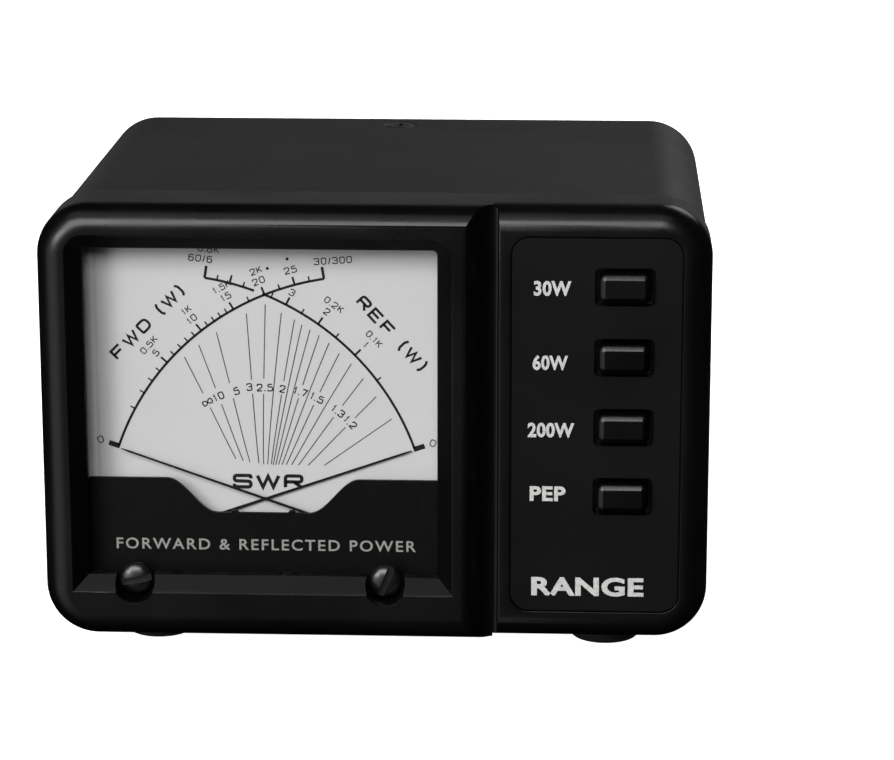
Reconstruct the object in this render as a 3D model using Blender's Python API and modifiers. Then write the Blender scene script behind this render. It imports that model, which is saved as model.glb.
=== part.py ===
"""Cross-needle SWR and power meter: a moulded bezel with a two-movement meter and four push
buttons, a painted cover over a chassis pan, and two line sockets at the back.

Sizes are in metres. In the design frame X runs to the right as seen from the front, Y from the
front face to the back, and Z up from the underside of the body. One empty carries every piece and
puts the origin under the middle of the feet."""

import math

import bmesh
import bpy
from mathutils import Matrix, Vector

# Driving dimensions
WIDTH = 0.120
HEIGHT = 0.080
DEPTH = 0.105  # front face to the ends of the line sockets
FOOT_HEIGHT = 0.0052
GAP = 0.0003  # between touching pieces
CORNER_R = 0.0095
FRONT_R = 0.0046  # rounding of the bezel's front edge
BEZEL_BACK = 0.0155
SWITCH_FACE_Y = 0.0025  # the switch side is set back from the meter side
CHANNEL = (0.0163, 0.0222)  # X of the channel between the two sides
CHANNEL_Y = 0.0048
COVER_BACK = 0.095
SHEET = 0.001
SKIN_INSET = 0.0003  # cover and pan are this much smaller than the bezel all round

SIDE = WIDTH / 2 - SKIN_INSET - 0.0001  # X of the cover's outer side
SKIN_R = CORNER_R + 0.0003
SEAM_Z = 0.0112  # the cover's lower edge
FLANGE_X = SIDE - SHEET - GAP
FLANGE_TOP = 0.019

# Window and meter
WINDOW_LOW = (-0.0523, 0.0117)
WINDOW_HIGH = (0.0113, 0.0719)
CHAMFER = 0.0028
METER_LOW = (-0.0554, 0.0056)
METER_HIGH = (0.0143, 0.0744)
LENS_Y = (0.0045, 0.0126)
CASE_BACK = 0.027
MASK_Y = (0.0066, 0.0073)
DIAL_Y = (0.0090, 0.0095)
DIAL_CENTRE_X = -0.0200
PIVOT_Z = 0.0181
PIVOT_HALF_SPREAD = 0.0182
REST_ANGLE = math.radians(19.3)  # pointer above the horizontal at zero
HALF_SWEEP = math.radians(32)
POINTER_LENGTH = 0.0472
ZERO_SCREWS = {"fwd": (0.0019, 0.0106), "ref": (-0.0435, 0.0105)}
PIN_OFFSET = 0.0009  # of a zero screw's pin from its axis

# Switches
BUTTON_X = 0.0445
BUTTON_Z = {"range_1": 0.0657, "range_2": 0.0529, "range_3": 0.0401, "peak": 0.0273}
CAP_SIZE = (0.0092, 0.0054)
CAP_FRONT = 0.0007
CAP_BACK = 0.0080
PLATE_LOW = (0.0243, 0.0055)
PLATE_HIGH = (0.0549, 0.0747)
PLATE_POCKET = 0.00085
BANK_Y = (0.014, 0.030)

# Back
PANEL_Y = (0.0903, 0.0915)
SOCKET_X = {"tx": 0.028, "ant": -0.028}
SOCKET_Z = 0.030
SUPPLY_Z = 0.066
LINE_Y = 0.078
TOP_SCREW_Y = 0.088
SIDE_SCREW = (0.055, 0.015)
FEET = {"front": 0.0224, "rear": 0.079}
FOOT_X = 0.0417

MERGE = 0.00001


def empty_scene():
    for obj in list(bpy.data.objects):
        bpy.data.objects.remove(obj)


def new_collection(name):
    made = bpy.data.collections.new(name)
    bpy.context.scene.collection.children.link(made)
    return made


def new_material(name, colour, roughness, metallic=0.0, alpha=1.0):
    material = bpy.data.materials.new(name)
    material.use_nodes = True
    shader = material.node_tree.nodes["Principled BSDF"]
    shader.inputs["Base Color"].default_value = (*colour, 1.0)
    shader.inputs["Roughness"].default_value = roughness
    shader.inputs["Metallic"].default_value = metallic
    shader.inputs["Alpha"].default_value = alpha
    return material


def add(name, data, material, location=(0, 0, 0), rotation=(0, 0, 0)):
    obj = bpy.data.objects.new(name, data)
    PARTS.objects.link(obj)
    obj.parent = ORIGIN
    obj.location = location
    obj.rotation_euler = rotation
    if material:
        data.materials.append(material)
    return obj


def add_bmesh(name, bm, material, location=(0, 0, 0), rotation=(0, 0, 0)):
    bmesh.ops.recalc_face_normals(bm, faces=bm.faces)
    mesh = bpy.data.meshes.new(name)
    bm.to_mesh(mesh)
    bm.free()
    mesh.shade_smooth()
    mesh.set_sharp_from_angle(angle=math.radians(30))
    return add(name, mesh, material, location, rotation)


def block(name, low, high, material=None, at=(0, 0, 0)):
    """A box between two corners, given from its origin, which is at `at`."""
    low = Vector(low)
    high = Vector(high)
    bm = bmesh.new()
    bmesh.ops.create_cube(bm, size=1.0)
    bmesh.ops.scale(bm, vec=high - low, verts=bm.verts)
    bmesh.ops.translate(bm, vec=(low + high) / 2, verts=bm.verts)
    return add_bmesh(name, bm, material, at)


def rod(name, radius, y_front, y_back, material=None, at=(0, 0, 0), sides=24, lie="Y"):
    """A cylinder along Y, or along X or Z, from one distance to another from its origin."""
    bm = bmesh.new()
    bmesh.ops.create_cone(
        bm, cap_ends=True, segments=sides, radius1=radius, radius2=radius, depth=y_back - y_front
    )
    bmesh.ops.translate(bm, vec=(0, 0, (y_front + y_back) / 2), verts=bm.verts)
    turns = {"X": Matrix.Rotation(math.pi / 2, 4, "Y"), "Y": Matrix.Rotation(-math.pi / 2, 4, "X")}
    if lie in turns:
        bmesh.ops.transform(bm, matrix=turns[lie], verts=bm.verts)
    return add_bmesh(name, bm, material, at)


def rounded_rect(low, high, radius, steps=6):
    """Outline points (X, Z) of a rectangle with round corners."""
    (x0, z0), (x1, z1) = low, high
    corners = ((x1, z1, -1, -1, 0), (x0, z1, 1, -1, 1), (x0, z0, 1, 1, 2), (x1, z0, -1, 1, 3))
    points = []
    for x, z, sx, sz, quarter in corners:
        for step in range(steps + 1):
            angle = math.pi / 2 * (quarter + step / steps)
            points.append(
                (
                    x + sx * radius + radius * math.cos(angle),
                    z + sz * radius + radius * math.sin(angle),
                )
            )
    return points


def plate(name, outlines, y_front, y_back, material=None, at=(0, 0, 0)):
    """A flat plate across Y, from outlines in X and Z. Outlines after the first are holes."""
    curve = bpy.data.curves.new(name, "CURVE")
    curve.dimensions = "2D"
    curve.fill_mode = "BOTH"
    curve.extrude = (y_back - y_front) / 2
    for outline in outlines:
        spline = curve.splines.new("POLY")
        spline.points.add(len(outline) - 1)
        for point, (x, z) in zip(spline.points, outline):
            point.co = (x, z, 0, 1)
        spline.use_cyclic_u = True
    flat = bpy.data.objects.new(name + "_outline", curve)
    PARTS.objects.link(flat)
    mesh = bpy.data.meshes.new_from_object(
        flat.evaluated_get(bpy.context.evaluated_depsgraph_get())
    )
    bpy.data.objects.remove(flat)
    bm = bmesh.new()
    bm.from_mesh(mesh)
    bpy.data.meshes.remove(mesh)
    bmesh.ops.remove_doubles(bm, verts=bm.verts, dist=MERGE)
    bmesh.ops.rotate(bm, matrix=Matrix.Rotation(math.pi / 2, 3, "X"), verts=bm.verts)
    bmesh.ops.translate(bm, vec=(0, (y_front + y_back) / 2, 0), verts=bm.verts)
    return add_bmesh(name, bm, material, at)


def circle(x, z, radius, steps=20):
    angles = [2 * math.pi * step / steps for step in range(steps)]
    return [(x + radius * math.cos(a), z + radius * math.sin(a)) for a in angles]


def turned(name, profile, material=None, at=(0, 0, 0), lie="Y", steps=24, closed=False):
    """A turned piece. The profile lists (radius, distance along the axis) down the outer side:
    from front to back on a piece lying along Y, and from top to bottom on one along Z."""
    mesh = bpy.data.meshes.new(name)
    sign = -1 if lie == "Y" else 1
    verts = [(radius, 0, sign * along) for radius, along in profile]
    edges = [(i, i + 1) for i in range(len(verts) - 1)]
    if closed:
        edges.append((len(verts) - 1, 0))
    mesh.from_pydata(verts, edges, [])
    tilt = {"Y": (math.pi / 2, 0, 0), "Z": (0, 0, 0), "X": (0, math.pi / 2, 0)}[lie]
    obj = add(name, mesh, material, at, tilt)
    screw = obj.modifiers.new("Turn", "SCREW")
    screw.angle = 2 * math.pi
    screw.steps = steps
    screw.render_steps = steps
    screw.use_merge_vertices = True
    screw.merge_threshold = MERGE
    screw.use_smooth_shade = True
    return obj


def hull(name, points, material=None, at=(0, 0, 0)):
    bm = bmesh.new()
    for point in points:
        bm.verts.new(point)
    bmesh.ops.convex_hull(bm, input=bm.verts)
    return add_bmesh(name, bm, material, at)


def combine(obj, other, operation):
    """Cuts the other object from this one, joins it to it, or keeps what they share."""
    for collection in list(other.users_collection):
        collection.objects.unlink(other)
    CUTTERS.objects.link(other)
    other.hide_render = True
    other.display_type = "WIRE"
    boolean = obj.modifiers.new(other.name, "BOOLEAN")
    boolean.operation = operation
    boolean.solver = "EXACT"
    boolean.object = other
    return obj


def cut(obj, *others):
    for other in others:
        combine(obj, other, "DIFFERENCE")
    return obj


def join(obj, *others):
    for other in others:
        combine(obj, other, "UNION")
    return obj


def front_block(name, y_front, material=None):
    """The bezel's outer form, with its front edge rounded."""
    outline = rounded_rect((-WIDTH / 2, 0), (WIDTH / 2, HEIGHT), CORNER_R)
    obj = plate(name, [outline], y_front, BEZEL_BACK, material)
    bm = bmesh.new()
    bm.from_mesh(obj.data)
    rim = [
        edge
        for edge in bm.edges
        if all(v.co.y < y_front + MERGE for v in edge.verts)
        and any(f.normal.y > -0.5 for f in edge.link_faces)
    ]
    bmesh.ops.bevel(
        bm, geom=rim, offset=FRONT_R, segments=5, profile=0.5, affect="EDGES", clamp_overlap=True
    )
    bm.to_mesh(obj.data)
    bm.free()
    return obj


def channel_cutter():
    """The channel's section seen from above: a curved wall on the left and a steep one on the
    right."""
    left, right = CHANNEL
    steps = 6
    section = [(left, -SHEET)]
    for step in range(steps + 1):
        share = step / steps
        rise = (1 - math.cos(math.pi * share)) / 2
        section.append((left + share * (right - left - 0.0006), CHANNEL_Y * rise))
    section += [(right, SWITCH_FACE_Y), (right + 0.0002, -SHEET)]
    bm = bmesh.new()
    face = bm.faces.new([bm.verts.new((x, y, -SHEET)) for x, y in section])
    grown = bmesh.ops.extrude_face_region(bm, geom=[face])
    moved = [v for v in grown["geom"] if isinstance(v, bmesh.types.BMVert)]
    bmesh.ops.translate(bm, vec=(0, 0, HEIGHT + 2 * SHEET), verts=moved)
    return add_bmesh("cut_channel", bm, None)


def window_cutter():
    """The opening with its chamfer: a hull between the outer outline and the inner one."""
    grow = CHAMFER + GAP
    outer_low = (WINDOW_LOW[0] - grow, WINDOW_LOW[1] - grow)
    outer_high = (WINDOW_HIGH[0] + grow, WINDOW_HIGH[1] + grow)
    outer = [(x, -GAP, z) for x, z in rounded_rect(outer_low, outer_high, 0.0020, 3)]
    inner = [(x, CHAMFER, z) for x, z in rounded_rect(WINDOW_LOW, WINDOW_HIGH, 0.0008, 3)]
    return hull("cut_window_chamfer", outer + inner)


def front_bezel():
    split = CHANNEL[1] - 0.001
    bezel = front_block("front_bezel", 0.0, PLASTIC)
    reach = (WIDTH, BEZEL_BACK + SHEET, HEIGHT + SHEET)
    keep_left = block("keep_left", (-reach[0], -SHEET, -SHEET), (split, reach[1], reach[2]))
    keep_right = block("keep_right", (split, -SHEET, -SHEET), reach)
    right = combine(front_block("switch_side", SWITCH_FACE_Y), keep_right, "INTERSECT")
    combine(bezel, keep_left, "INTERSECT")
    tongue_low = (-WIDTH / 2 + 0.0019, 0.0018)
    tongue_high = (WIDTH / 2 - 0.0019, HEIGHT - 0.0018)
    tongue = plate("tongue", [rounded_rect(tongue_low, tongue_high, 0.0077)], 0.010, 0.019)
    join(bezel, right, tongue)
    cavity_outline = rounded_rect((-0.0563, 0.0036), (0.0563, 0.0764), 0.0040)
    cut(
        bezel,
        channel_cutter(),
        plate("cut_cavity", [cavity_outline], CHANNEL_Y + 0.0025, 0.021),
        block("cut_meter_pocket", (-0.0563, 0.0042, 0.0050), (0.0147, 0.009, 0.0762)),
        block("cut_switch_pocket", (0.0248, 0.0051, 0.0040), (0.0562, 0.009, 0.0760)),
        window_cutter(),
        plate("cut_window", [rounded_rect(WINDOW_LOW, WINDOW_HIGH, 0.0008, 3)], 0.001, 0.006),
        plate(
            "cut_label_pocket",
            [rounded_rect(PLATE_LOW, PLATE_HIGH, 0.0034)],
            0.001,
            SWITCH_FACE_Y + PLATE_POCKET,
        ),
    )
    for side, word in ((-1, "left"), (1, "right")):
        near, far = sorted((side * (FLANGE_X - SHEET - GAP), side * WIDTH / 2))
        low = (near, BEZEL_BACK, SEAM_Z - 0.0022)
        cut(bezel, block(f"cut_tongue_{word}", low, (far, 0.021, FLANGE_TOP + GAP)))
    for side, (x, z) in ZERO_SCREWS.items():
        cut(bezel, rod(f"cut_notch_{side}", 0.0036, -0.001, 0.006, at=(x, 0, z)))
    for place, z in BUTTON_Z.items():
        hole = button_outline(z, 0.0111)
        cut(bezel, plate(f"cut_button_{place}", [hole], 0.001, 0.008))
    return bezel


def button_outline(z, width):
    height = width - CAP_SIZE[0] + CAP_SIZE[1]
    low = (BUTTON_X - width / 2, z - height / 2)
    high = (BUTTON_X + width / 2, z + height / 2)
    return rounded_rect(low, high, 0.0010, 3)


def label_plate():
    low = (PLATE_LOW[0] + GAP, PLATE_LOW[1] + GAP)
    high = (PLATE_HIGH[0] - GAP, PLATE_HIGH[1] - GAP)
    holes = [button_outline(z, 0.0107) for z in BUTTON_Z.values()]
    front = SWITCH_FACE_Y + 0.0001
    outlines = [rounded_rect(low, high, 0.0031), *holes]
    plate("label_plate", outlines, front, front + 0.00045, LABEL)


def sheet_from_path(name, path, y_front, y_back, material):
    """Half a bent sheet from its outer line, mirrored across X and thickened inwards."""
    bm = bmesh.new()
    near = [bm.verts.new((x, y_front, z)) for x, z in path]
    far = [bm.verts.new((x, y_back, z)) for x, z in path]
    for i in range(len(path) - 1):
        bm.faces.new((near[i], near[i + 1], far[i + 1], far[i]))
    mesh = bpy.data.meshes.new(name)
    bm.to_mesh(mesh)
    bm.free()
    mesh.shade_smooth()
    mesh.set_sharp_from_angle(angle=math.radians(30))
    obj = add(name, mesh, material)
    mirror = obj.modifiers.new("Mirror", "MIRROR")
    mirror.merge_threshold = MERGE
    solidify = obj.modifiers.new("Sheet", "SOLIDIFY")
    solidify.thickness = SHEET
    solidify.offset = -1
    solidify.use_even_offset = True
    return obj


def corner_arc(cx, cz, radius, start, end, steps=8):
    angles = [start + (end - start) * step / steps for step in range(steps + 1)]
    return [(cx + radius * math.cos(a), cz + radius * math.sin(a)) for a in angles]


def top_cover():
    top = HEIGHT - SKIN_INSET
    path = [(0, top)]
    path += corner_arc(SIDE - SKIN_R, top - SKIN_R, SKIN_R, math.pi / 2, 0)
    path.append((SIDE, SEAM_Z))
    cover = sheet_from_path("top_cover", path, BEZEL_BACK + GAP, COVER_BACK, PAINT)
    places = [("top", "Z", (0, TOP_SCREW_Y, top))]
    for side, word in ((-1, "left"), (1, "right")):
        places.append((word, "X", (side * SIDE, SIDE_SCREW[0], SIDE_SCREW[1])))
    for word, lie, at in places:
        cone = [(0, 0.0002), (0.0036, 0.0002), (0.0018, -0.0010), (0.0018, -0.004), (0, -0.004)]
        cutter = turned(f"cut_sink_{word}", cone, at=at, lie=lie, steps=16)
        if word == "left":
            cutter.rotation_euler.y = -math.pi / 2
        cut(cover, cutter)
    return cover


def chassis_pan():
    low = SKIN_INSET
    path = [(FLANGE_X, FLANGE_TOP), (FLANGE_X, SEAM_Z - GAP)]
    path += corner_arc(SIDE - SKIN_R, low + SKIN_R, SKIN_R, 0, -math.pi / 2)
    path.append((0, low))
    pan = sheet_from_path("chassis_pan", path, BEZEL_BACK + GAP, COVER_BACK, PAINT)
    y, z = SIDE_SCREW
    for side in (-1, 1):
        word = "right" if side > 0 else "left"
        at = (side * FLANGE_X, y, z)
        hole = rod(f"cut_pan_{word}", 0.0018, -0.004, 0.004, at=at, sides=16, lie="X")
        cut(pan, hole)
    return pan


def rear_panel():
    outline = rounded_rect((-0.0570, 0.0016), (0.0570, 0.0784), 0.0080)
    holes = [circle(x, SOCKET_Z, 0.0083, 32) for x in SOCKET_X.values()]
    holes.append(circle(0, SUPPLY_Z, 0.0043))
    panel = plate("rear_panel", [outline, *holes], *PANEL_Y, PAINT)
    tab = block("panel_tab", (-0.007, 0.083, 0.0772), (0.007, PANEL_Y[1] - GAP, 0.0784))
    join(panel, tab)
    hole = rod("cut_tab", 0.0018, 0.075, 0.082, at=(0, TOP_SCREW_Y, 0), sides=16, lie="Z")
    return cut(panel, hole)


def screws_and_feet():
    top = HEIGHT - SKIN_INSET
    lengths = {"top": 0.0065, "left": 0.0060, "right": 0.0060}
    places = {"top": (0, TOP_SCREW_Y, top)}
    for side, word in ((-1, "left"), (1, "right")):
        places[word] = (side * SIDE, SIDE_SCREW[0], SIDE_SCREW[1])
    for word, at in places.items():
        lie = "Z" if word == "top" else "X"
        end = -lengths[word]
        profile = [(0, -0.00005), (0.0029, -0.00005), (0.0014, -0.00115), (0.0014, end), (0, end)]
        screw = turned(f"cover_screw_{word}", profile, STEEL, at=at, lie=lie, steps=20)
        recess = []
        for wide, high in ((0.0017, 0.0004), (0.0004, 0.0017)):
            name = f"cut_recess_{word}_{len(recess)}"
            recess.append(block(name, (-wide, -high, -0.0006), (wide, high, SHEET), at=at))
        if word != "top":
            turn = math.pi / 2 if word == "right" else -math.pi / 2
            screw.rotation_euler.y = turn
            for piece in recess:
                piece.rotation_euler.y = turn
        cut(screw, *recess)
    foot_r = 0.0065
    for row, y in FEET.items():
        for side, word in ((-1, "left"), (1, "right")):
            profile = [(0, 0), (foot_r, 0), (foot_r, -FOOT_HEIGHT + 0.0010)]
            profile += [(foot_r - 0.0003, -FOOT_HEIGHT + 0.0003), (foot_r - 0.0010, -FOOT_HEIGHT)]
            profile.append((0, -FOOT_HEIGHT))
            turned(f"foot_{row}_{word}", profile, RUBBER, at=(side * FOOT_X, y, 0), lie="Z")


def inset_rect(low, high, by):
    return (low[0] + by, low[1] + by), (high[0] - by, high[1] - by)


def open_box(name, low, high, open_side, material):
    """A box of sheet that is open on one side, where open_side is that side's outward axis."""
    bm = bmesh.new()
    bmesh.ops.create_cube(bm, size=1.0)
    bmesh.ops.scale(bm, vec=Vector(high) - Vector(low), verts=bm.verts)
    bmesh.ops.translate(bm, vec=(Vector(low) + Vector(high)) / 2, verts=bm.verts)
    gone = [face for face in bm.faces if face.normal.dot(Vector(open_side)) > 0.9]
    bmesh.ops.delete(bm, geom=gone, context="FACES")
    mesh = bpy.data.meshes.new(name)
    bm.to_mesh(mesh)
    bm.free()
    obj = add(name, mesh, material)
    solidify = obj.modifiers.new("Wall", "SOLIDIFY")
    solidify.offset = -1
    solidify.use_even_offset = True
    return obj, solidify


def meter_housing():
    (x0, z0), (x1, z1) = METER_LOW, METER_HIGH
    lens, wall = open_box("meter_lens", (x0, LENS_Y[0], z0), (x1, LENS_Y[1], z1), (0, 1, 0), CLEAR)
    wall.thickness = 0.0012
    for side, (x, z) in ZERO_SCREWS.items():
        cut(lens, rod(f"cut_lens_{side}", 0.0021, 0.003, 0.007, at=(x, 0, z)))
    back = (x1, CASE_BACK, z1)
    case, wall = open_box("meter_case", (x0, LENS_Y[1] + GAP, z0), back, (0, -1, 0), CASE)
    wall.thickness = 0.0015
    low, high = inset_rect(METER_LOW, METER_HIGH, 0.0016)
    middle = DIAL_CENTRE_X - 0.0005
    floor_z = 0.0222
    mask_top = 0.0276
    floor_half = 0.0083
    top_half = 0.0175
    steps = 6
    outline = [(low[0], low[1]), (high[0], low[1]), (high[0], mask_top)]
    for step in range(steps + 1):
        share = step / steps
        drop = (1 - math.cos(math.pi * share)) / 2
        half = top_half + (floor_half - top_half) * share
        outline.append((middle + half, mask_top - (mask_top - floor_z) * drop))
    outline += [(2 * middle - x, z) for x, z in reversed(outline[3:])]
    outline.append((low[0], mask_top))
    holes = [circle(x, z, 0.0021) for x, z in ZERO_SCREWS.values()]
    plate("meter_mask", [outline, *holes], *MASK_Y, MASK)
    outline = rounded_rect((low[0], 0.0209), (high[0], high[1]), 0.0010, 2)
    plate("dial_plate", [outline], *DIAL_Y, DIAL)
    lamp = [(0, 0.0150), (0.0011, 0.0153), (0.0019, 0.0165), (0.0022, 0.0185), (0.0022, 0.0220)]
    lamp += [(0.0026, 0.0220), (0.0026, CASE_BACK - 0.0018), (0, CASE_BACK - 0.0018)]
    turned("dial_lamp", lamp, LAMP, at=(DIAL_CENTRE_X, 0, 0.055), steps=16)


YOKE_Y = (0.0145, 0.0222)
COIL_Y = (0.0136, 0.0239)
BRIDGE_Y = (0.0114, 0.0126)
SPRING_Y = 0.0131
LEVER_Y = (0.0100, 0.0106)


def movement(side, sign, pointer_y):
    """One movement. The forward one, sign 1, has its pivot on the right and turns clockwise as
    seen from the front; the reflected one is its mirror image. Every piece has its origin on the
    pivot's axis."""
    pivot = (DIAL_CENTRE_X + sign * PIVOT_HALF_SPREAD, 0, PIVOT_Z)

    blade = [(0.0, -0.00045), (0.006, -0.00035), (POINTER_LENGTH, -0.00015)]
    blade += [(x, -z) for x, z in reversed(blade)]
    tail = [(-0.0048, -0.0008), (0.0, -0.0008), (0.0, 0.0008), (-0.0048, 0.0008)]
    aim = -sign
    rise = Matrix.Rotation(sign * REST_ANGLE, 3, "Y")
    pointer = turned(
        f"pointer_{side}",
        [(0.0018, pointer_y - 0.0001), (0.0018, pointer_y + 0.0003), (0.0009, pointer_y + 0.0003), (0.0009, pointer_y - 0.0001)],
        BLACK,
        at=pivot,
        closed=True,
        steps=20,
    )
    shapes = (("blade", blade, 0.0012), ("tail", tail, 0.0012))
    for word, outline, start in shapes:
        points = []
        for along, across in outline:
            along = max(along, start) if word == "blade" else min(along, -start)
            spot = rise @ Vector((aim * along, 0, across))
            points.append((spot.x, spot.z))
        arm = plate(f"{word}_{side}", [points], pointer_y, pointer_y + 0.00025, at=pivot)
        join(pointer, arm)

    half = 0.0077
    inner = 0.0062
    turn = Matrix.Rotation(-sign * HALF_SWEEP, 4, "Y")
    coil = block(f"coil_{side}", (-half, COIL_Y[0], -0.0013), (half, COIL_Y[1], 0.0013), COPPER, pivot)
    hollow = block(
        f"cut_coil_{side}", (-inner, COIL_Y[0] + 0.001, -0.002), (inner, COIL_Y[1] - 0.001, 0.002), at=pivot
    )
    for piece in (coil, hollow):
        piece.data.transform(turn)
    cut(coil, hollow)
    staff_front = rod(f"staff_front_{side}", 0.0006, pointer_y - 0.0001, COIL_Y[0] + 0.0004, at=pivot, sides=12)
    staff_back = rod(f"staff_back_{side}", 0.0006, COIL_Y[1] - 0.0004, 0.0251, at=pivot, sides=12)
    join(coil, staff_front, staff_back)

    yoke = [(0.0100, YOKE_Y[0]), (0.0100, YOKE_Y[1]), (0.0082, YOKE_Y[1]), (0.0082, YOKE_Y[0])]
    turned(f"yoke_{side}", yoke, IRON, at=pivot, closed=True, steps=28)
    core = rod(f"core_magnet_{side}", 0.0058, 0.0149, YOKE_Y[1], MAGNET, at=pivot)
    join(core, block(f"core_bar_{side}", (-0.0012, 0.017, -0.0079), (0.0012, 0.020, 0.0079), at=pivot))

    bridge = block(f"bridge_{side}", (-0.0017, BRIDGE_Y[0], -0.0098), (0.0017, BRIDGE_Y[1], 0.0098), BRASS, pivot)
    for z in (-0.0091, 0.0091):
        word = "lower" if z < 0 else "upper"
        leg_top = (0.0017, YOKE_Y[0] - GAP, z + 0.0007)
        join(bridge, block(f"leg_{word}_{side}", (-0.0017, BRIDGE_Y[0] + 0.0004, z - 0.0007), leg_top, at=pivot))
    cut(bridge, rod(f"cut_bridge_{side}", 0.0010, 0.010, 0.014, at=pivot, sides=16))

    zero_lever(side, sign, pivot)
    zero_screw(side, pivot)
    hairspring(side, sign, pivot)


def to_screw(side, pivot):
    """The direction and distance from a movement's pivot to its zero screw."""
    x, z = ZERO_SCREWS[side]
    away = Vector((x - pivot[0], 0, z - pivot[2]))
    return away.normalized(), away.length


def zero_lever(side, sign, pivot):
    direction, distance = to_screw(side, pivot)
    across = Vector((-direction.z, 0, direction.x))
    front, back = LEVER_Y
    arm = []
    for along, out in ((0.0015, -1), (distance + 0.0006, -1), (distance + 0.0006, 1), (0.0015, 1)):
        spot = direction * along + across * out * 0.0018
        arm.append((spot.x, spot.z))
    slot = []
    pin_at = distance - PIN_OFFSET
    for along, out in ((-0.0010, -1), (0.0025, -1), (0.0025, 1), (-0.0010, 1)):
        spot = direction * (pin_at + along) + across * out * 0.00085
        slot.append((spot.x, spot.z))
    ring = [(0.0032, front), (0.0032, back), (0.0013, back), (0.0013, front)]
    lever = turned(f"zero_lever_{side}", ring, BRASS, at=pivot, closed=True, steps=20)
    join(
        lever,
        plate(f"lever_arm_{side}", [arm], front, back, at=pivot),
        block(
            f"stud_arm_{side}",
            (-sign * 0.0058 if sign > 0 else 0.0020, front, -0.0008),
            (-0.0020 if sign > 0 else -sign * 0.0058, back, 0.0008),
            at=pivot,
        ),
        rod(f"stud_{side}", 0.0004, front, SPRING_Y + 0.0002, at=(pivot[0] - sign * 0.0053, 0, pivot[2]), sides=8),
    )
    cut(lever, plate(f"cut_lever_{side}", [slot], front - SHEET, back + SHEET, at=pivot))


def zero_screw(side, pivot):
    x, z = ZERO_SCREWS[side]
    at = (x, 0, z)
    direction, _ = to_screw(side, pivot)
    head = 0.0029
    shank = 0.0017
    profile = [(0, 0.0022), (head - 0.0006, 0.0022), (head, 0.0028), (head, 0.0042)]
    profile += [(shank, 0.0042), (shank, 0.0084), (0, 0.0084)]
    screw = turned(f"zero_screw_{side}", profile, SCREW_BLACK, at=at)
    pin = rod(
        f"pin_{side}", 0.0005, 0.0080, 0.0111, at=Vector(at) - direction * PIN_OFFSET, sides=10
    )
    join(screw, pin)
    slot = block(f"cut_slot_{side}", (-0.004, 0.001, -0.00065), (0.004, 0.0032, 0.00065), at=at)
    slot.rotation_euler.y = SLOT_TURN[side]
    cut(screw, slot)


SLOT_TURN = {"fwd": math.radians(-68), "ref": math.radians(-10)}


def hairspring(side, sign, pivot):
    """A flat spiral of three turns, from near the staff out to the lever's stud."""
    turns = 3
    per_turn = 16
    inner = 0.0012
    outer = 0.0046
    curve = bpy.data.curves.new(f"hairspring_{side}", "CURVE")
    curve.dimensions = "3D"
    curve.bevel_depth = 0.00014
    curve.bevel_resolution = 0
    curve.use_fill_caps = True
    spline = curve.splines.new("POLY")
    count = turns * per_turn + 1
    spline.points.add(count - 1)
    for i, point in enumerate(spline.points):
        angle = math.pi + 2 * math.pi * (i / per_turn)
        radius = inner + (outer - inner) * i / (count - 1)
        point.co = (sign * radius * math.cos(angle), SPRING_Y, radius * math.sin(angle), 1)
    add(f"hairspring_{side}", curve, BRONZE, pivot)


def button(place, z):
    at = (BUTTON_X, 0, z)
    width, height = CAP_SIZE
    outline = rounded_rect((-width / 2, -height / 2), (width / 2, height / 2), 0.0010, 1)
    cap = plate(f"button_cap_{place}", [outline], CAP_FRONT, CAP_BACK, CAP, at)
    bm = bmesh.new()
    bm.from_mesh(cap.data)
    rim = [
        edge
        for edge in bm.edges
        if all(v.co.y < CAP_FRONT + MERGE for v in edge.verts)
        and any(f.normal.y > -0.5 for f in edge.link_faces)
    ]
    bmesh.ops.bevel(bm, geom=rim, offset=0.0011, segments=1, affect="EDGES")
    bm.to_mesh(cap.data)
    bm.free()
    join(cap, block(f"cap_flange_{place}", (-0.0063, 0.0054, -0.0042), (0.0063, 0.0064, 0.0042), at=at))
    rod(f"plunger_{place}", 0.0015, CAP_BACK + GAP, 0.0338, WHITE, at=at, sides=20)

    turns = 4
    per_turn = 10
    curve = bpy.data.curves.new(f"return_spring_{place}", "CURVE")
    curve.dimensions = "3D"
    curve.bevel_depth = 0.00022
    curve.bevel_resolution = 0
    curve.use_fill_caps = True
    spline = curve.splines.new("POLY")
    count = turns * per_turn + 1
    spline.points.add(count - 1)
    front = 0.0086
    back = BANK_Y[0] - 0.0006
    for i, point in enumerate(spline.points):
        angle = 2 * math.pi * i / per_turn
        spread = 0.0021
        depth = front + (back - front) * i / (count - 1)
        point.co = (spread * math.cos(angle), depth, spread * math.sin(angle), 1)
    add(f"return_spring_{place}", curve, STEEL, at)


def switches():
    for place, z in BUTTON_Z.items():
        button(place, z)
    bank = block("switch_bank", (-0.0063, BANK_Y[0], 0.0208), (0.0063, BANK_Y[1], 0.0722), CASE, (BUTTON_X, 0, 0))
    for place, z in BUTTON_Z.items():
        cut(bank, rod(f"cut_bank_{place}", 0.0019, 0.010, 0.034, at=(BUTTON_X, 0, z), sides=20))
    low = (BUTTON_X - 0.0045, 0.0215)
    high = (BUTTON_X + 0.0045, 0.0715)
    slots = []
    for z in BUTTON_Z.values():
        slots.append(
            rounded_rect((BUTTON_X - 0.0020, z - 0.0034), (BUTTON_X + 0.0020, z + 0.0034), 0.0010, 3)
        )
    plate("latch_bar", [rounded_rect(low, high, 0.0010, 3), *slots], 0.0306, 0.0314, STEEL)
    block("switch_board", (0.0512, 0.012, 0.017), (0.0528, 0.038, 0.075), BOARD)


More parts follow.
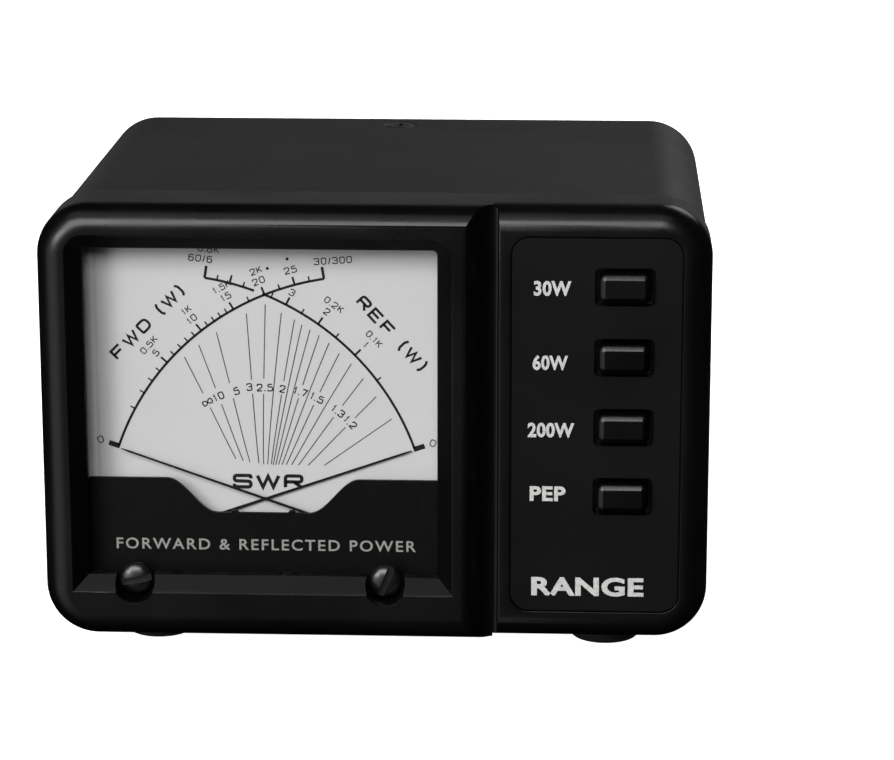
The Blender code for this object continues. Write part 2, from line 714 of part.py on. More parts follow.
def coupler():
    low = (-0.042, 0.058, 0.0016)
    high = (0.042, 0.0875, 0.047)
    box, wall = open_box("coupler_box", low, high, (0, 0, -1), TIN)
    wall.thickness = SHEET
    for word, x in SOCKET_X.items():
        cut(box, rod(f"cut_box_{word}", 0.0055, 0.080, 0.089, at=(x, 0, SOCKET_Z), sides=24))
    rod("line_rod", 0.0020, -0.032, 0.032, COPPER, at=(0, LINE_Y, SOCKET_Z), sides=20, lie="X")
    ring = [(0.0070, 0.0025), (0.0070, -0.0025), (0.0028, -0.0025), (0.0028, 0.0025)]
    turned("toroid_core", ring, FERRITE, at=(0, LINE_Y, SOCKET_Z), lie="X", closed=True)


def main_board():
    top = 0.0576
    board = block("main_board", (-0.044, 0.044, 0.056), (0.044, 0.080, top), BOARD)
    joint = top - 0.0004
    for i in range(4):
        x = -0.034 + 0.016 * i
        join(board, block(f"trimmer_{i}", (x, 0.048, joint), (x + 0.0065, 0.0545, top + 0.0045)))
    for i in range(2):
        x = -0.024 + 0.028 * i
        join(board, block(f"detector_{i}", (x, 0.061, joint), (x + 0.0095, 0.0675, top + 0.0032)))
    for i in range(2):
        at = (0.032, 0.060 + 0.011 * i, 0)
        join(board, rod(f"capacitor_{i}", 0.0032, joint, top + 0.0085, at=at, sides=16, lie="Z"))


def line_socket(word, x):
    at = (x, 0, SOCKET_Z)
    outer = 0.00795
    bore = 0.00425
    shell = [(0.0051, 0.0855), (0.0051, 0.0890), (outer, 0.0890), (outer, DEPTH - 0.0007)]
    shell += [(outer - 0.0007, DEPTH), (bore + 0.0005, DEPTH), (bore, DEPTH - 0.0005), (bore, 0.0855)]
    body = turned(f"{word}_socket_shell", shell, NICKEL, at=at, closed=True, steps=32)
    half = 0.0127
    flange = plate(
        f"flange_{word}",
        [rounded_rect((-half, -half), (half, half), 0.0015, 3), circle(0, 0, 0.0046, 24)],
        0.0879,
        0.0899,
        at=at,
    )
    join(body, flange)
    insulator = [(0.0039, 0.0858), (0.0039, 0.0965), (0.0018, 0.0965), (0.0018, 0.0858)]
    turned(f"{word}_socket_insulator", insulator, WHITE, at=at, closed=True)
    contact = [(0, 0.0803), (0.0008, 0.0803), (0.0008, 0.0850), (0.0015, 0.0850), (0.0015, 0.1000)]
    contact += [(0.0009, 0.1000), (0.0009, 0.0950), (0, 0.0950)]
    turned(f"{word}_socket_contact", contact, BRASS, at=at, steps=16)


def supply_socket():
    at = (0, 0, SUPPLY_Z)
    profile = [(0, 0.0820), (0.0040, 0.0820), (0.0040, PANEL_Y[1] + GAP), (0.0056, PANEL_Y[1] + GAP)]
    profile += [(0.0056, 0.0938), (0.0040, 0.0938), (0.0040, 0.0946), (0.0029, 0.0946)]
    profile += [(0.0029, 0.0850), (0, 0.0850)]
    turned("supply_socket_body", profile, CASE, at=at)
    pin = [(0, 0.0853), (0.00105, 0.0853), (0.00105, 0.0930), (0.0007, 0.0934), (0, 0.0934)]
    turned("supply_socket_pin", pin, NICKEL, at=at, steps=16)


empty_scene()
PARTS = new_collection("swr_meter")
CUTTERS = new_collection("cutters")
ORIGIN = bpy.data.objects.new("origin_on_surface", None)
PARTS.objects.link(ORIGIN)
ORIGIN.location = (0, -DEPTH / 2, FOOT_HEIGHT)

PLASTIC = new_material("bezel_plastic", (0.010, 0.010, 0.011), 0.35)
LABEL = new_material("label_film", (0.016, 0.016, 0.017), 0.5)
PAINT = new_material("cover_paint", (0.030, 0.030, 0.032), 0.45)
STEEL = new_material("steel", (0.45, 0.45, 0.46), 0.35, 1.0)
RUBBER = new_material("foot_rubber", (0.015, 0.015, 0.015), 0.8)
CLEAR = new_material("lens_clear", (0.9, 0.92, 0.93), 0.05, alpha=0.3)
CASE = new_material("case_plastic", (0.02, 0.02, 0.022), 0.5)
MASK = new_material("mask_black", (0.010, 0.010, 0.010), 0.5)
DIAL = new_material("dial_white", (0.78, 0.78, 0.78), 0.6)
LAMP = new_material("lamp_glass", (0.9, 0.85, 0.7), 0.1)
BLACK = new_material("pointer_black", (0.01, 0.01, 0.01), 0.5)
COPPER = new_material("copper", (0.72, 0.36, 0.20), 0.35, 1.0)
IRON = new_material("soft_iron", (0.32, 0.32, 0.33), 0.45, 1.0)
MAGNET = new_material("magnet", (0.20, 0.20, 0.21), 0.5, 1.0)
BRASS = new_material("brass", (0.75, 0.58, 0.28), 0.3, 1.0)
BRONZE = new_material("spring_bronze", (0.65, 0.45, 0.25), 0.35, 1.0)
SCREW_BLACK = new_material("screw_black", (0.012, 0.012, 0.012), 0.35)
CAP = new_material("cap_plastic", (0.014, 0.014, 0.015), 0.4)
WHITE = new_material("white_plastic", (0.85, 0.85, 0.83), 0.4)
BOARD = new_material("board_green", (0.03, 0.14, 0.06), 0.5)
TIN = new_material("tinplate", (0.60, 0.60, 0.58), 0.35, 1.0)
FERRITE = new_material("ferrite", (0.08, 0.08, 0.085), 0.6)
NICKEL = new_material("nickel", (0.62, 0.61, 0.58), 0.25, 1.0)

front_bezel()
label_plate()
top_cover()
chassis_pan()
rear_panel()
screws_and_feet()
meter_housing()
movement("fwd", 1, 0.00775)
movement("ref", -1, 0.00835)
switches()
coupler()
main_board()
for socket, socket_x in SOCKET_X.items():
    line_socket(socket, socket_x)
supply_socket()
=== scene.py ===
"""Looks for the SWR and power meter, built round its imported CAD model.

Pieces are modelled in millimetres in the meter's own frame (X right, Y back from the front face, Z up
from the underside of the body) and then moved into the row frame, in metres."""

import math

import bmesh
import bpy
from mathutils import Matrix, Vector


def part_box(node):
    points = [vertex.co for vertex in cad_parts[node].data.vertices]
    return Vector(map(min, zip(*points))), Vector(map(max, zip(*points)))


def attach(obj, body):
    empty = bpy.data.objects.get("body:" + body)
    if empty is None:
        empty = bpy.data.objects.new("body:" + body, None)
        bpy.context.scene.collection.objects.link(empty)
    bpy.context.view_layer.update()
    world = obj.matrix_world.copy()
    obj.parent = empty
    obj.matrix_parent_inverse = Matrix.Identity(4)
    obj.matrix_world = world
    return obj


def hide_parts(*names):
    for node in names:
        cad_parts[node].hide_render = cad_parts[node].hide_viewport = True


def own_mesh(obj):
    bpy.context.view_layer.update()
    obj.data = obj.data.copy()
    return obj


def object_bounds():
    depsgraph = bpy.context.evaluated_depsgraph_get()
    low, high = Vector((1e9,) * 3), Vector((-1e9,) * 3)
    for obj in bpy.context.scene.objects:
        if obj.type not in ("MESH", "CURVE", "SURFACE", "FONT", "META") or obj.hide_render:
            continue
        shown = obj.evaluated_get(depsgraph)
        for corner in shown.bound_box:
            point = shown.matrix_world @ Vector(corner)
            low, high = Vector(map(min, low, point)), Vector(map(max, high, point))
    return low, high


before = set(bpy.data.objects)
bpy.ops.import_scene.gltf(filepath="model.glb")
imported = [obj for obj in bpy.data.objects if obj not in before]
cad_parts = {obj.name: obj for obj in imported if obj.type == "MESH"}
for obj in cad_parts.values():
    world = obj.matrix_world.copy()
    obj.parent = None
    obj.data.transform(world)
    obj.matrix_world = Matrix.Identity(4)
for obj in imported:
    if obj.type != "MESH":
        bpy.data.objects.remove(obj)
CAD_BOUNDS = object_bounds()
SCENE = bpy.context.scene

bezel_low, bezel_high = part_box("front_bezel")
ORIGIN = Vector(((bezel_low.x + bezel_high.x) / 2, bezel_low.y, bezel_low.z))
TO_WORLD = Matrix.Translation(ORIGIN) @ Matrix.Scale(0.001, 4)
GAP = 0.3
MERGE = 0.0005
SHARP = 0.02  # radius of a corner that counts as sharp
SIDES = ("fwd", "ref")
SIGN = {"fwd": 1, "ref": -1}
BUTTONS = ("range_1", "range_2", "range_3", "peak")


def cad(node):
    """A CAD node's lowest and highest corners, in millimetres in the meter's own frame."""
    low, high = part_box(node)
    return (low - ORIGIN) * 1000, (high - ORIGIN) * 1000


def middle(node):
    low, high = cad(node)
    return (low + high) / 2


# Meshes


def link(name, mesh):
    obj = bpy.data.objects.new(name, mesh)
    SCENE.collection.objects.link(obj)
    return obj


def from_bmesh(name, bm):
    bmesh.ops.remove_doubles(bm, verts=bm.verts, dist=MERGE)
    bmesh.ops.recalc_face_normals(bm, faces=bm.faces)
    mesh = bpy.data.meshes.new(name)
    bm.to_mesh(mesh)
    bm.free()
    return link(name, mesh)


def rounded_rect(low, high, radii, grow=0.0, steps=12):
    """Outline (x, z) of a rectangle. radii is one radius, or four: top right, top left, bottom left,
    bottom right. grow moves the outline outwards, and a corner of radius 0 stays sharp."""
    radii = [radii] * 4 if isinstance(radii, (int, float)) else radii
    x0, z0, x1, z1 = low[0] - grow, low[1] - grow, high[0] + grow, high[1] + grow
    corners = ((x1, z1, -1, -1), (x0, z1, 1, -1), (x0, z0, 1, 1), (x1, z0, -1, 1))
    points = []
    for quarter, (x, z, sx, sz) in enumerate(corners):
        radius = max(radii[quarter] + grow, SHARP) if radii[quarter] else SHARP
        for step in range(steps + 1):
            angle = math.pi / 2 * (quarter + step / steps)
            across, up = sx + math.cos(angle), sz + math.sin(angle)
            points.append((x + across * radius, z + up * radius))
    return points


def skin(bm, rings, closed=False):
    """Makes the faces between each ring of vertices and the next."""
    for near, far in list(zip(rings, rings[1:])) + ([(rings[-1], rings[0])] if closed else []):
        for i in range(len(near)):
            j = (i + 1) % len(near)
            bm.faces.new((near[i], near[j], far[j], far[i]))


def loft(name, rings):
    """A closed solid through rings of 3-D points, each with as many points as the others."""
    bm = bmesh.new()
    made = [[bm.verts.new(point) for point in ring] for ring in rings]
    skin(bm, made)
    bm.faces.new(made[0])
    bm.faces.new(list(reversed(made[-1])))
    return from_bmesh(name, bm)


def rim_loft(name, low, high, radii, profile, steps=12):
    """A solid whose outline, seen from the front, is a rounded rectangle that grows by the first
    number of each profile pair at the depth of the second."""
    rings = []
    for grow, y in profile:
        rings.append([(x, y, z) for x, z in rounded_rect(low, high, radii, grow, steps)])
    return loft(name, rings)


def around(spot, half_x, half_z):
    """The lowest and highest corners (x, z) of a rectangle about a spot."""
    return (spot.x - half_x, spot.z - half_z), (spot.x + half_x, spot.z + half_z)


def box(name, low, high):
    (x0, y0, z0), (x1, y1, z1) = low, high
    rings = [[(x0, y, z0), (x1, y, z0), (x1, y, z1), (x0, y, z1)] for y in (y0, y1)]
    return loft(name, rings)


def prism(name, outline, y0, y1):
    return loft(name, [[(x, y, z) for x, z in outline] for y in (y0, y1)])


def rounding(radius, y, steps):
    """Profile pairs for a quarter-round edge at the front, from the face out to the side."""
    angles = [math.pi / 2 * step / steps for step in range(steps + 1)]
    return [(-radius * (1 - math.sin(a)), y + radius * (1 - math.cos(a))) for a in angles]


def lathe(name, profile, at, axis="Y", steps=64, thread=None):
    """A turned solid from (radius, distance along the axis) pairs. thread is (from, to, pitch,
    depth) for a helical groove on the outside."""
    if thread:
        start, end, pitch, depth = thread
        fine = []
        for (r0, a0), (r1, a1) in zip(profile, profile[1:]):
            fine.append((r0, a0, False))
            if min(a0, a1) <= start and max(a0, a1) >= end and r0 == r1:
                count = round((end - start) / pitch * 8)
                for i in range(count + 1):
                    share = i / count if a1 > a0 else 1 - i / count
                    fine.append((r0, start + (end - start) * share, True))
        fine.append((*profile[-1], False))
    else:
        fine = [(r, a, False) for r, a in profile]
    bm = bmesh.new()
    rings = []
    for radius, along, threaded in fine:
        ring = []
        for step in range(steps):
            turn = step / steps
            r = radius
            if threaded:
                edge = min(along - start, end - along) / pitch
                wave = abs(((along / pitch - turn) % 1.0) * 2 - 1)
                r -= depth * min(1.0, max(0.0, 1.4 * wave - 0.2)) * min(1.0, edge * 2)
            spot = (r * math.cos(2 * math.pi * turn), r * math.sin(2 * math.pi * turn))
            if axis == "Y":
                ring.append(bm.verts.new((at[0] + spot[0], at[1] + along, at[2] + spot[1])))
            elif axis == "Z":
                ring.append(bm.verts.new((at[0] + spot[0], at[1] + spot[1], at[2] + along)))
            else:
                ring.append(bm.verts.new((at[0] + along, at[1] + spot[0], at[2] + spot[1])))
        rings.append(ring)
    skin(bm, rings, closed=profile[0][0] > 0)
    bmesh.ops.remove_doubles(bm, verts=bm.verts, dist=MERGE)
    flat = [f for f in bm.faces if f.calc_area() < 1e-9]
    bmesh.ops.delete(bm, geom=flat, context="FACES_ONLY")
    return from_bmesh(name, bm)


def rod(name, radius, start, end, at, axis="Y", steps=40):
    return lathe(name, [(0, start), (radius, start), (radius, end), (0, end)], at, axis, steps)


def turned(obj, angle, at):
    """Turns a piece modelled round the Y axis about that axis, and then moves it to at."""
    obj.data.transform(Matrix.Translation(at) @ Matrix.Rotation(angle, 4, "Y"))
    return obj


def facing(obj, spot, outward):
    """Turns a piece modelled at the origin, with its +Z outward, and then moves it to a spot."""
    turn = Vector((0, 0, 1)).rotation_difference(Vector(outward)).to_matrix().to_4x4()
    obj.data.transform(Matrix.Translation(spot) @ turn)
    return obj


def bake(obj):
    """Replaces an object's mesh with what its modifiers make of it."""
    shaped = obj.evaluated_get(bpy.context.evaluated_depsgraph_get())
    mesh = bpy.data.meshes.new_from_object(shaped)
    obj.modifiers.clear()
    obj.data = mesh
    return obj


def boolean(obj, operation, others):
    for other in others:
        modifier = obj.modifiers.new(other.name, "BOOLEAN")
        modifier.operation = operation
        modifier.solver = "EXACT"
        modifier.object = other
    bake(obj)
    for other in others:
        bpy.data.objects.remove(other)
    return obj


def cut(obj, *others):
    return boolean(obj, "DIFFERENCE", others)


def join(obj, *others):
    return boolean(obj, "UNION", others)


def bevel(obj, width):
    modifier = obj.modifiers.new("Edges", "BEVEL")
    modifier.width = width
    modifier.segments = 2
    modifier.limit_method = "ANGLE"
    modifier.angle_limit = math.radians(50)
    modifier.use_clamp_overlap = True
    return bake(obj)


def place(obj, body, slot, material, *nodes, smooth=35):
    """Moves a finished piece into the row frame and gives it its body and material. slot is not used."""
    obj.data.transform(TO_WORLD)
    obj.data.materials.clear()
    obj.data.materials.append(material)
    obj.data.shade_smooth()
    obj.data.set_sharp_from_angle(angle=math.radians(smooth))
    if smooth:
        weighted = obj.modifiers.new("Normals", "WEIGHTED_NORMAL")
        weighted.keep_sharp = True
    if nodes:
        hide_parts(*nodes)
    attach(obj, body)
    return obj


# Materials


def fill(ramp, stops):
    """Sets a colour ramp's stops, each a position and a colour or one level."""
    while len(ramp.elements) < len(stops):
        ramp.elements.new(0.5)
    for element, (at, colour) in zip(ramp.elements, stops):
        element.position = at
        colour = colour if isinstance(colour, tuple) else (colour,) * 3
        element.color = (*colour, 1.0)


def shade(colour, factor):
    return tuple(min(1.0, c * factor) for c in colour)


class Finish:
    """A Principled material with noise on its colour, roughness and surface."""

    def __init__(self, name, roughness, metallic=0.0, specular=0.5):
        self.material = bpy.data.materials.new(name)
        self.material.use_nodes = True
        self.tree = self.material.node_tree
        self.shader = self.tree.nodes["Principled BSDF"]
        self.shader.inputs["Metallic"].default_value = metallic
        self.shader.inputs["Roughness"].default_value = roughness
        self.shader.inputs["Specular IOR Level"].default_value = specular
        coordinates = self.tree.nodes.new("ShaderNodeTexCoord")
        self.place = coordinates.outputs["Object"]
        self.height = None

    def node(self, kind, **values):
        """A shader node with values for its inputs, spelled with _ for a space."""
        made = self.tree.nodes.new("ShaderNode" + kind)
        for key, value in values.items():
            made.inputs[key.replace("_", " ")].default_value = value
        return made

    def link(self, source, target):
        self.tree.links.new(source, target)

    def stretched(self, scale):
        mapping = self.node("Mapping", Scale=scale)
        self.link(self.place, mapping.inputs["Vector"])
        return mapping.outputs["Vector"]

    def noise(self, scale, detail=3.0, stretch=None, distortion=0.0):
        made = self.node("TexNoise", Scale=scale, Detail=detail, Distortion=distortion)
        self.link(self.stretched(stretch) if stretch else self.place, made.inputs["Vector"])
        return made.outputs["Fac"]

    def ramp(self, source, stops):
        made = self.node("ValToRGB")
        fill(made.color_ramp, stops)
        self.link(source, made.inputs["Fac"])
        return made.outputs["Color"]

    def cloud(self, source, colour, low, high, ends=(0.3, 0.7)):
        """The colour from low to high times itself, as source goes from one of ends to the other."""
        return self.ramp(source, [(ends[0], shade(colour, low)), (ends[1], shade(colour, high))])

    def mix(self, share, first, second, blend="MIX"):
        made = self.node("Mix")
        made.data_type = "RGBA"
        made.blend_type = blend
        for value, index in ((share, 0), (first, 6), (second, 7)):
            if isinstance(value, bpy.types.NodeSocket):
                self.link(value, made.inputs[index])
            elif index == 0:
                made.inputs[0].default_value = value
            else:
                made.inputs[index].default_value = (*value, 1.0)
        return made.outputs[2]

    def colour(self, source):
        self.link(source, self.shader.inputs["Base Color"])
        return self

    def roughness(self, source, low, high):
        made = self.node("MapRange", From_Min=0.3, From_Max=0.7, To_Min=low, To_Max=high)
        self.link(source, made.inputs["Value"])
        self.link(made.outputs["Result"], self.shader.inputs["Roughness"])
        return self

    def bump(self, source, strength, distance):
        made = self.node("Bump", Strength=strength, Distance=distance)
        self.link(source, made.inputs["Height"])
        if self.height:
            self.link(self.height, made.inputs["Normal"])
        self.height = made.outputs["Normal"]
        self.link(self.height, self.shader.inputs["Normal"])
        return self


def moulded(name, colour, roughness, specular, grain=1400.0, bump=0.25):
    """Moulded plastic: a fine spark-eroded grain, faint flow marks and a little dust."""
    finish = Finish(name, roughness, specular=specular)
    flow = finish.noise(26.0, 4.0, distortion=0.4)
    dust = finish.ramp(finish.noise(900.0, 2.0), [(0.66, 0.0), (0.80, 1.0)])
    tone = finish.cloud(flow, colour, 0.85, 1.2)
    finish.colour(finish.mix(dust, tone, shade(colour, 1.9)))
    finish.roughness(finish.noise(60.0, 5.0), roughness - 0.05, roughness + 0.06)
    finish.bump(finish.noise(grain, 3.0), bump, 0.00004)
    return finish.material


def painted(name, colour, roughness, specular, bump=0.5):
    """Baked enamel on sheet: an orange-peel surface with a fine speckle."""
    finish = Finish(name, roughness, specular=specular)
    speckle = finish.ramp(finish.noise(2100.0, 2.0), [(0.42, 0.75), (0.60, 1.25)])
    cloud = finish.cloud(finish.noise(14.0, 5.0), colour, 0.88, 1.14, (0.35, 0.65))
    finish.colour(finish.mix(1.0, cloud, speckle, "MULTIPLY"))
    finish.roughness(finish.noise(45.0, 4.0), roughness - 0.04, roughness + 0.05)
    finish.bump(finish.noise(520.0, 2.0), bump, 0.00006)
    finish.bump(finish.noise(2400.0, 1.0), bump * 0.6, 0.00002)
    return finish.material


def metal(name, colour, roughness, stretch=(1, 1, 1), scale=900.0, bump=0.15):
    """Bare or plated metal with fine tool marks along the axis that stretch leaves long."""
    finish = Finish(name, roughness, metallic=1.0)
    marks = finish.noise(scale, 4.0, stretch=stretch)
    stain = finish.noise(70.0, 5.0)
    finish.colour(finish.cloud(stain, colour, 0.82, 1.08))
    finish.roughness(marks, roughness * 0.7, roughness * 1.35)
    finish.bump(marks, bump, 0.00003)
    return finish.material


def printed(name, colour, roughness=0.6, specular=0.15):
    """Screen-printed ink, a little uneven in density."""
    finish = Finish(name, roughness, specular=specular)
    density = finish.noise(1500.0, 3.0)
    finish.colour(finish.cloud(density, colour, 0.86, 1.1, (0.35, 0.65)))
    finish.roughness(finish.noise(500.0), roughness - 0.05, roughness + 0.05)
    finish.bump(density, 0.1, 0.00001)
    return finish.material


def rubber(name, colour):
    finish = Finish(name, 0.78, specular=0.3)
    tone = finish.cloud(finish.noise(120.0, 5.0), colour, 0.8, 1.3)
    bloom = finish.ramp(finish.noise(500.0, 2.0), [(0.6, 0.0), (0.85, 1.0)])
    finish.colour(finish.mix(bloom, tone, shade(colour, 2.2)))
    finish.roughness(finish.noise(200.0), 0.7, 0.88)
    finish.bump(finish.noise(1600.0), 0.4, 0.00004)
    return finish.material


def board(name, colour):
    """A circuit board: glass weave under green resist, with copper tracks showing as a lighter green."""
    finish = Finish(name, 0.45, specular=0.5)
    tracks = finish.node("TexBrick", Scale=160.0, Mortar_Size=0.035)
    finish.link(finish.place, tracks.inputs["Vector"])
    line = finish.ramp(tracks.outputs["Fac"], [(0.45, 0.0), (0.55, 1.0)])
    cloud = finish.cloud(finish.noise(90.0, 4.0), colour, 0.85, 1.2, (0.35, 0.65))
    finish.colour(finish.mix(line, cloud, shade(colour, 1.8)))
    finish.roughness(finish.noise(300.0), 0.38, 0.55)
    finish.bump(finish.noise(1500.0, 2.0), 0.3, 0.00003)
    return finish.material


def winding(name, colour):
    """Enamelled wire in close layers."""
    finish = Finish(name, 0.28, metallic=1.0)
    wave = finish.node("TexWave", Scale=1500.0, Distortion=0.6)
    finish.link(finish.place, wave.inputs["Vector"])
    finish.colour(finish.cloud(wave.outputs["Fac"], colour, 0.45, 1.0, (0.1, 0.7)))
    finish.roughness(finish.noise(800.0), 0.22, 0.36)
    finish.bump(wave.outputs["Fac"], 0.6, 0.00006)
    return finish.material


def paper_white(name, colour):
    """Matt dial enamel, with a faint mottle and a few specks."""
    finish = Finish(name, 0.6, specular=0.25)
    cloud = finish.cloud(finish.noise(24.0, 4.0), colour, 0.965, 1.02)
    specks = finish.ramp(finish.noise(1300.0, 1.0), [(0.76, 0.0), (0.82, 0.25)])
    finish.colour(finish.mix(specks, cloud, shade(colour, 0.7)))
    finish.roughness(finish.noise(300.0), 0.55, 0.68)
    finish.bump(finish.noise(1800.0, 2.0), 0.12, 0.00002)
    return finish.material


def clear(name):
    """The meter's clear moulding: almost nothing but its reflection."""
    finish = Finish(name, 0.06, specular=0.15)
    finish.shader.inputs["Alpha"].default_value = 0.08
    finish.colour(finish.ramp(finish.noise(40.0), [(0.3, 0.003), (0.7, 0.005)]))
    finish.roughness(finish.noise(120.0, 5.0), 0.05, 0.09)
    finish.bump(finish.noise(300.0), 0.02, 0.00002)
    return finish.material


PLASTIC = moulded("bezel_plastic", (0.0015, 0.0015, 0.0016), 0.27, 0.26)
# A darker, less glossy copy of the bezel plastic, put on the window's walls as painted shade.
PAINTED_SHADE_PLASTIC = moulded("recess_painted_shade", (0.0012, 0.0012, 0.0013), 0.40, 0.05)
FILM = moulded("label_film", (0.0014, 0.0014, 0.0015), 0.50, 0.13, grain=2200.0, bump=0.15)
PAINT = painted("cover_paint", (0.0150, 0.0150, 0.0152), 0.50, 0.17)
CAPS = moulded("cap_plastic", (0.0006, 0.0006, 0.0007), 0.28, 0.30)
SCREWS = moulded("screw_plastic", (0.0022, 0.0022, 0.0023), 0.30, 0.55)
MASKED = printed("mask_black", (0.0022, 0.0022, 0.0023), 0.45, 0.12)
CASE = moulded("case_plastic", (0.012, 0.012, 0.013), 0.5, 0.4)
RUBBER = rubber("foot_rubber", (0.004, 0.004, 0.004))
DIAL = paper_white("dial_white", (0.60, 0.60, 0.60))
INK = printed("dial_ink", (0.012, 0.012, 0.013))
FAINT_INK = printed("dial_faint_ink", (0.075, 0.075, 0.077))
PALE_INK = printed("pale_ink", (0.44, 0.44, 0.43))
CREAM_INK = printed("cream_ink", (0.32, 0.32, 0.30))
NEEDLE = printed("pointer_black", (0.008, 0.008, 0.008), 0.45)
CLEAR = clear("lens_clear")
STEEL = metal("steel", (0.50, 0.50, 0.51), 0.32)
NICKEL = metal("nickel", (0.66, 0.64, 0.60), 0.24, stretch=(1, 6, 1))
BRASS = metal("brass", (0.72, 0.55, 0.26), 0.30)
BRONZE = metal("spring_bronze", (0.60, 0.42, 0.24), 0.32)
IRON = metal("soft_iron", (0.30, 0.30, 0.31), 0.45, stretch=(1, 8, 1))
MAGNET = metal("magnet", (0.18, 0.18, 0.19), 0.55)
TIN = metal("tinplate", (0.62, 0.62, 0.60), 0.33, scale=400.0)
FERRITE = rubber("ferrite", (0.05, 0.05, 0.055))
COPPER = winding("copper_winding", (0.70, 0.33, 0.17))
ROD = metal("copper", (0.72, 0.37, 0.22), 0.28, stretch=(8, 1, 1))
WHITE = moulded("white_plastic", (0.62, 0.62, 0.60), 0.42, 0.5)
BOARD = board("board_green", (0.018, 0.085, 0.035))
LAMP = moulded("lamp_glass", (0.75, 0.70, 0.58), 0.12, 0.5, bump=0.05)

KEPT = {
    "rear_panel": PAINT,
    "dial_plate": DIAL,
    "meter_case": CASE,
    "dial_lamp": LAMP,
    "switch_bank": CASE,
    "latch_bar": STEEL,
    "switch_board": BOARD,
    "coupler_box": TIN,
    "line_rod": ROD,
    "toroid_core": FERRITE,
    "main_board": BOARD,
    "supply_socket_pin": NICKEL,
}
for side in SIDES:
    KEPT[f"coil_{side}"] = COPPER
    KEPT[f"hairspring_{side}"] = BRONZE
    KEPT[f"core_magnet_{side}"] = MAGNET
    KEPT[f"yoke_{side}"] = IRON
    KEPT[f"bridge_{side}"] = BRASS
    KEPT[f"zero_lever_{side}"] = BRASS
for button in BUTTONS:
    KEPT[f"plunger_{button}"] = WHITE
for socket in ("tx", "ant"):
    KEPT[f"{socket}_socket_insulator"] = WHITE
for node, material in KEPT.items():
    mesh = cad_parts[node].data
    mesh.materials.clear()
    mesh.materials.append(material)


# Bezel

HALF, _, TOP = cad("front_bezel")[1]
COVER_LOW, COVER_HIGH = cad("top_cover")
PAN_LOW, PAN_HIGH = cad("chassis_pan")
BEZEL_BACK = COVER_LOW.y - GAP
CORNER = 9.5
EDGE = 4.6
STEP = 2.5  # the switch side's face is this far behind the meter side's
WINDOW = ((-51.8, 11.7), (11.3, 71.9))
WINDOW_RADII = (0.9, 0.5, 0, 0)
PLATE_LOW, PLATE_HIGH = cad("label_plate")
POCKET = (
    (PLATE_LOW.x - GAP, PLATE_LOW.z - GAP),
    (PLATE_HIGH.x + GAP, PLATE_HIGH.z + GAP),
)


def bezel_side(name, y):
    profile = rounding(EDGE, y, 14)
    profile += [(0, BEZEL_BACK - 0.35), (-0.1, BEZEL_BACK - 0.1), (-0.35, BEZEL_BACK)]
    return rim_loft(name, (-HALF, 0), (HALF, TOP), CORNER, profile, 20)


def channel():
    """The channel's section from above, with soft shoulders, carried from top to bottom."""
    left, right, depth = 15.6, 22.2, 4.8
    section = [(left - 1, -2.0), (left - 0.1, -0.2), (left, 0.0)]
    for step in range(1, 15):
        share = step / 14
        x = left + share * (right - 0.6 - left)
        section.append((x, depth * (1 - math.cos(math.pi * share)) / 2))
    section += [(right - 0.3, depth - 0.1), (right - 0.1, depth - 0.5)]
    section += [(right, STEP + 0.5), (right + 0.1, STEP + 0.15), (right + 0.4, STEP - 0.02)]
    section += [(right + 0.8, STEP - 0.3), (right + 0.9, -2.0)]
    rings = [[(x, y, z) for x, y in section] for z in (-2, TOP + 2)]
    return loft("channel", rings)


def bezel():
    split = 21.2
    left = bezel_side("bezel", 0.0)
    right = bezel_side("bezel_right", STEP)
    boolean(left, "INTERSECT", [box("l", (-90, -5, -5), (split, 40, 90))])
    boolean(right, "INTERSECT", [box("r", (split, -5, -5), (90, 40, 90))])
    tongue_rim = [(0, 10), (0, 18.7), (-0.3, 19)]
    tongue = rim_loft("tongue", (-58.1, 1.8), (58.1, 78.2), 7.7, tongue_rim)
    join(left, right, tongue)
    chamfer = [(3.5, -1.0), (3.05, -0.12), (2.8, 0.06), (2.55, 0.28), (0.35, 2.5), (0.12, 2.72)]
    chamfer += [(0.0, 3.0), (0.0, 8.0)]
    window = rim_loft("window", *WINDOW, WINDOW_RADII, chamfer, 8)
    pocket = [(0.14, STEP - 1), (0.14, STEP - 0.02), (0.03, STEP + 0.05), (0.0, STEP + 0.12)]
    pocket += [(0.0, STEP + 0.85)]
    cutters = [
        channel(),
        window,
        rim_loft("pocket", *POCKET, 3.4, pocket, 12),
        rim_loft("cavity", (-56.3, 3.6), (56.3, 76.4), 4.0, [(0, 7.3), (0, 25)]),
        box("left", (-56.3, 4.2, 5.0), (14.7, 9, 76.2)),
        box("right", (24.8, 5.1, 4.0), (56.2, 9, 76.0)),
    ]
    for side in SIDES:
        x, _, z = middle(f"zero_screw_{side}")
        notch = [(0, -2), (4.3, -2), (4.3, -0.4), (3.75, 0.05), (3.6, 0.35), (3.6, 6), (0, 6)]
        cutters.append(lathe(f"notch_{side}", notch, (x, 0, z), steps=48))
    for button in BUTTONS:
        corners = around(middle(f"button_cap_{button}"), 5.55, 3.65)
        cutters.append(rim_loft(f"hole_{button}", *corners, 1.0, [(0, 1), (0, 8)], 6))
    for sign, word in ((-1, "left"), (1, "right")):
        near, far = sorted((sign * 57.0, sign * 60.5))
        cutters.append(box(f"tongue_{word}", (near, BEZEL_BACK, 9.0), (far, 21, 19.3)))
    return cut(left, *cutters)


def dull_recess(placed):
    """Gives the window's walls, except its sill and anything facing back, a darker, duller copy of the
    bezel plastic: painted shade.
    """
    placed.data.materials.append(PAINTED_SHADE_PLASTIC)
    to_design = TO_WORLD.inverted()
    (left, bottom), (right, top) = WINDOW
    reach = 2.6  # into the window's chamfer
    for face in placed.data.polygons:
        x, y, z = to_design @ face.center
        inside = left - reach < x < right + reach and bottom - reach < z < top + reach
        if inside and 0.2 < y < 8.5 and face.normal.z < 0.3 and face.normal.y < 0.9:
            face.material_index = 1


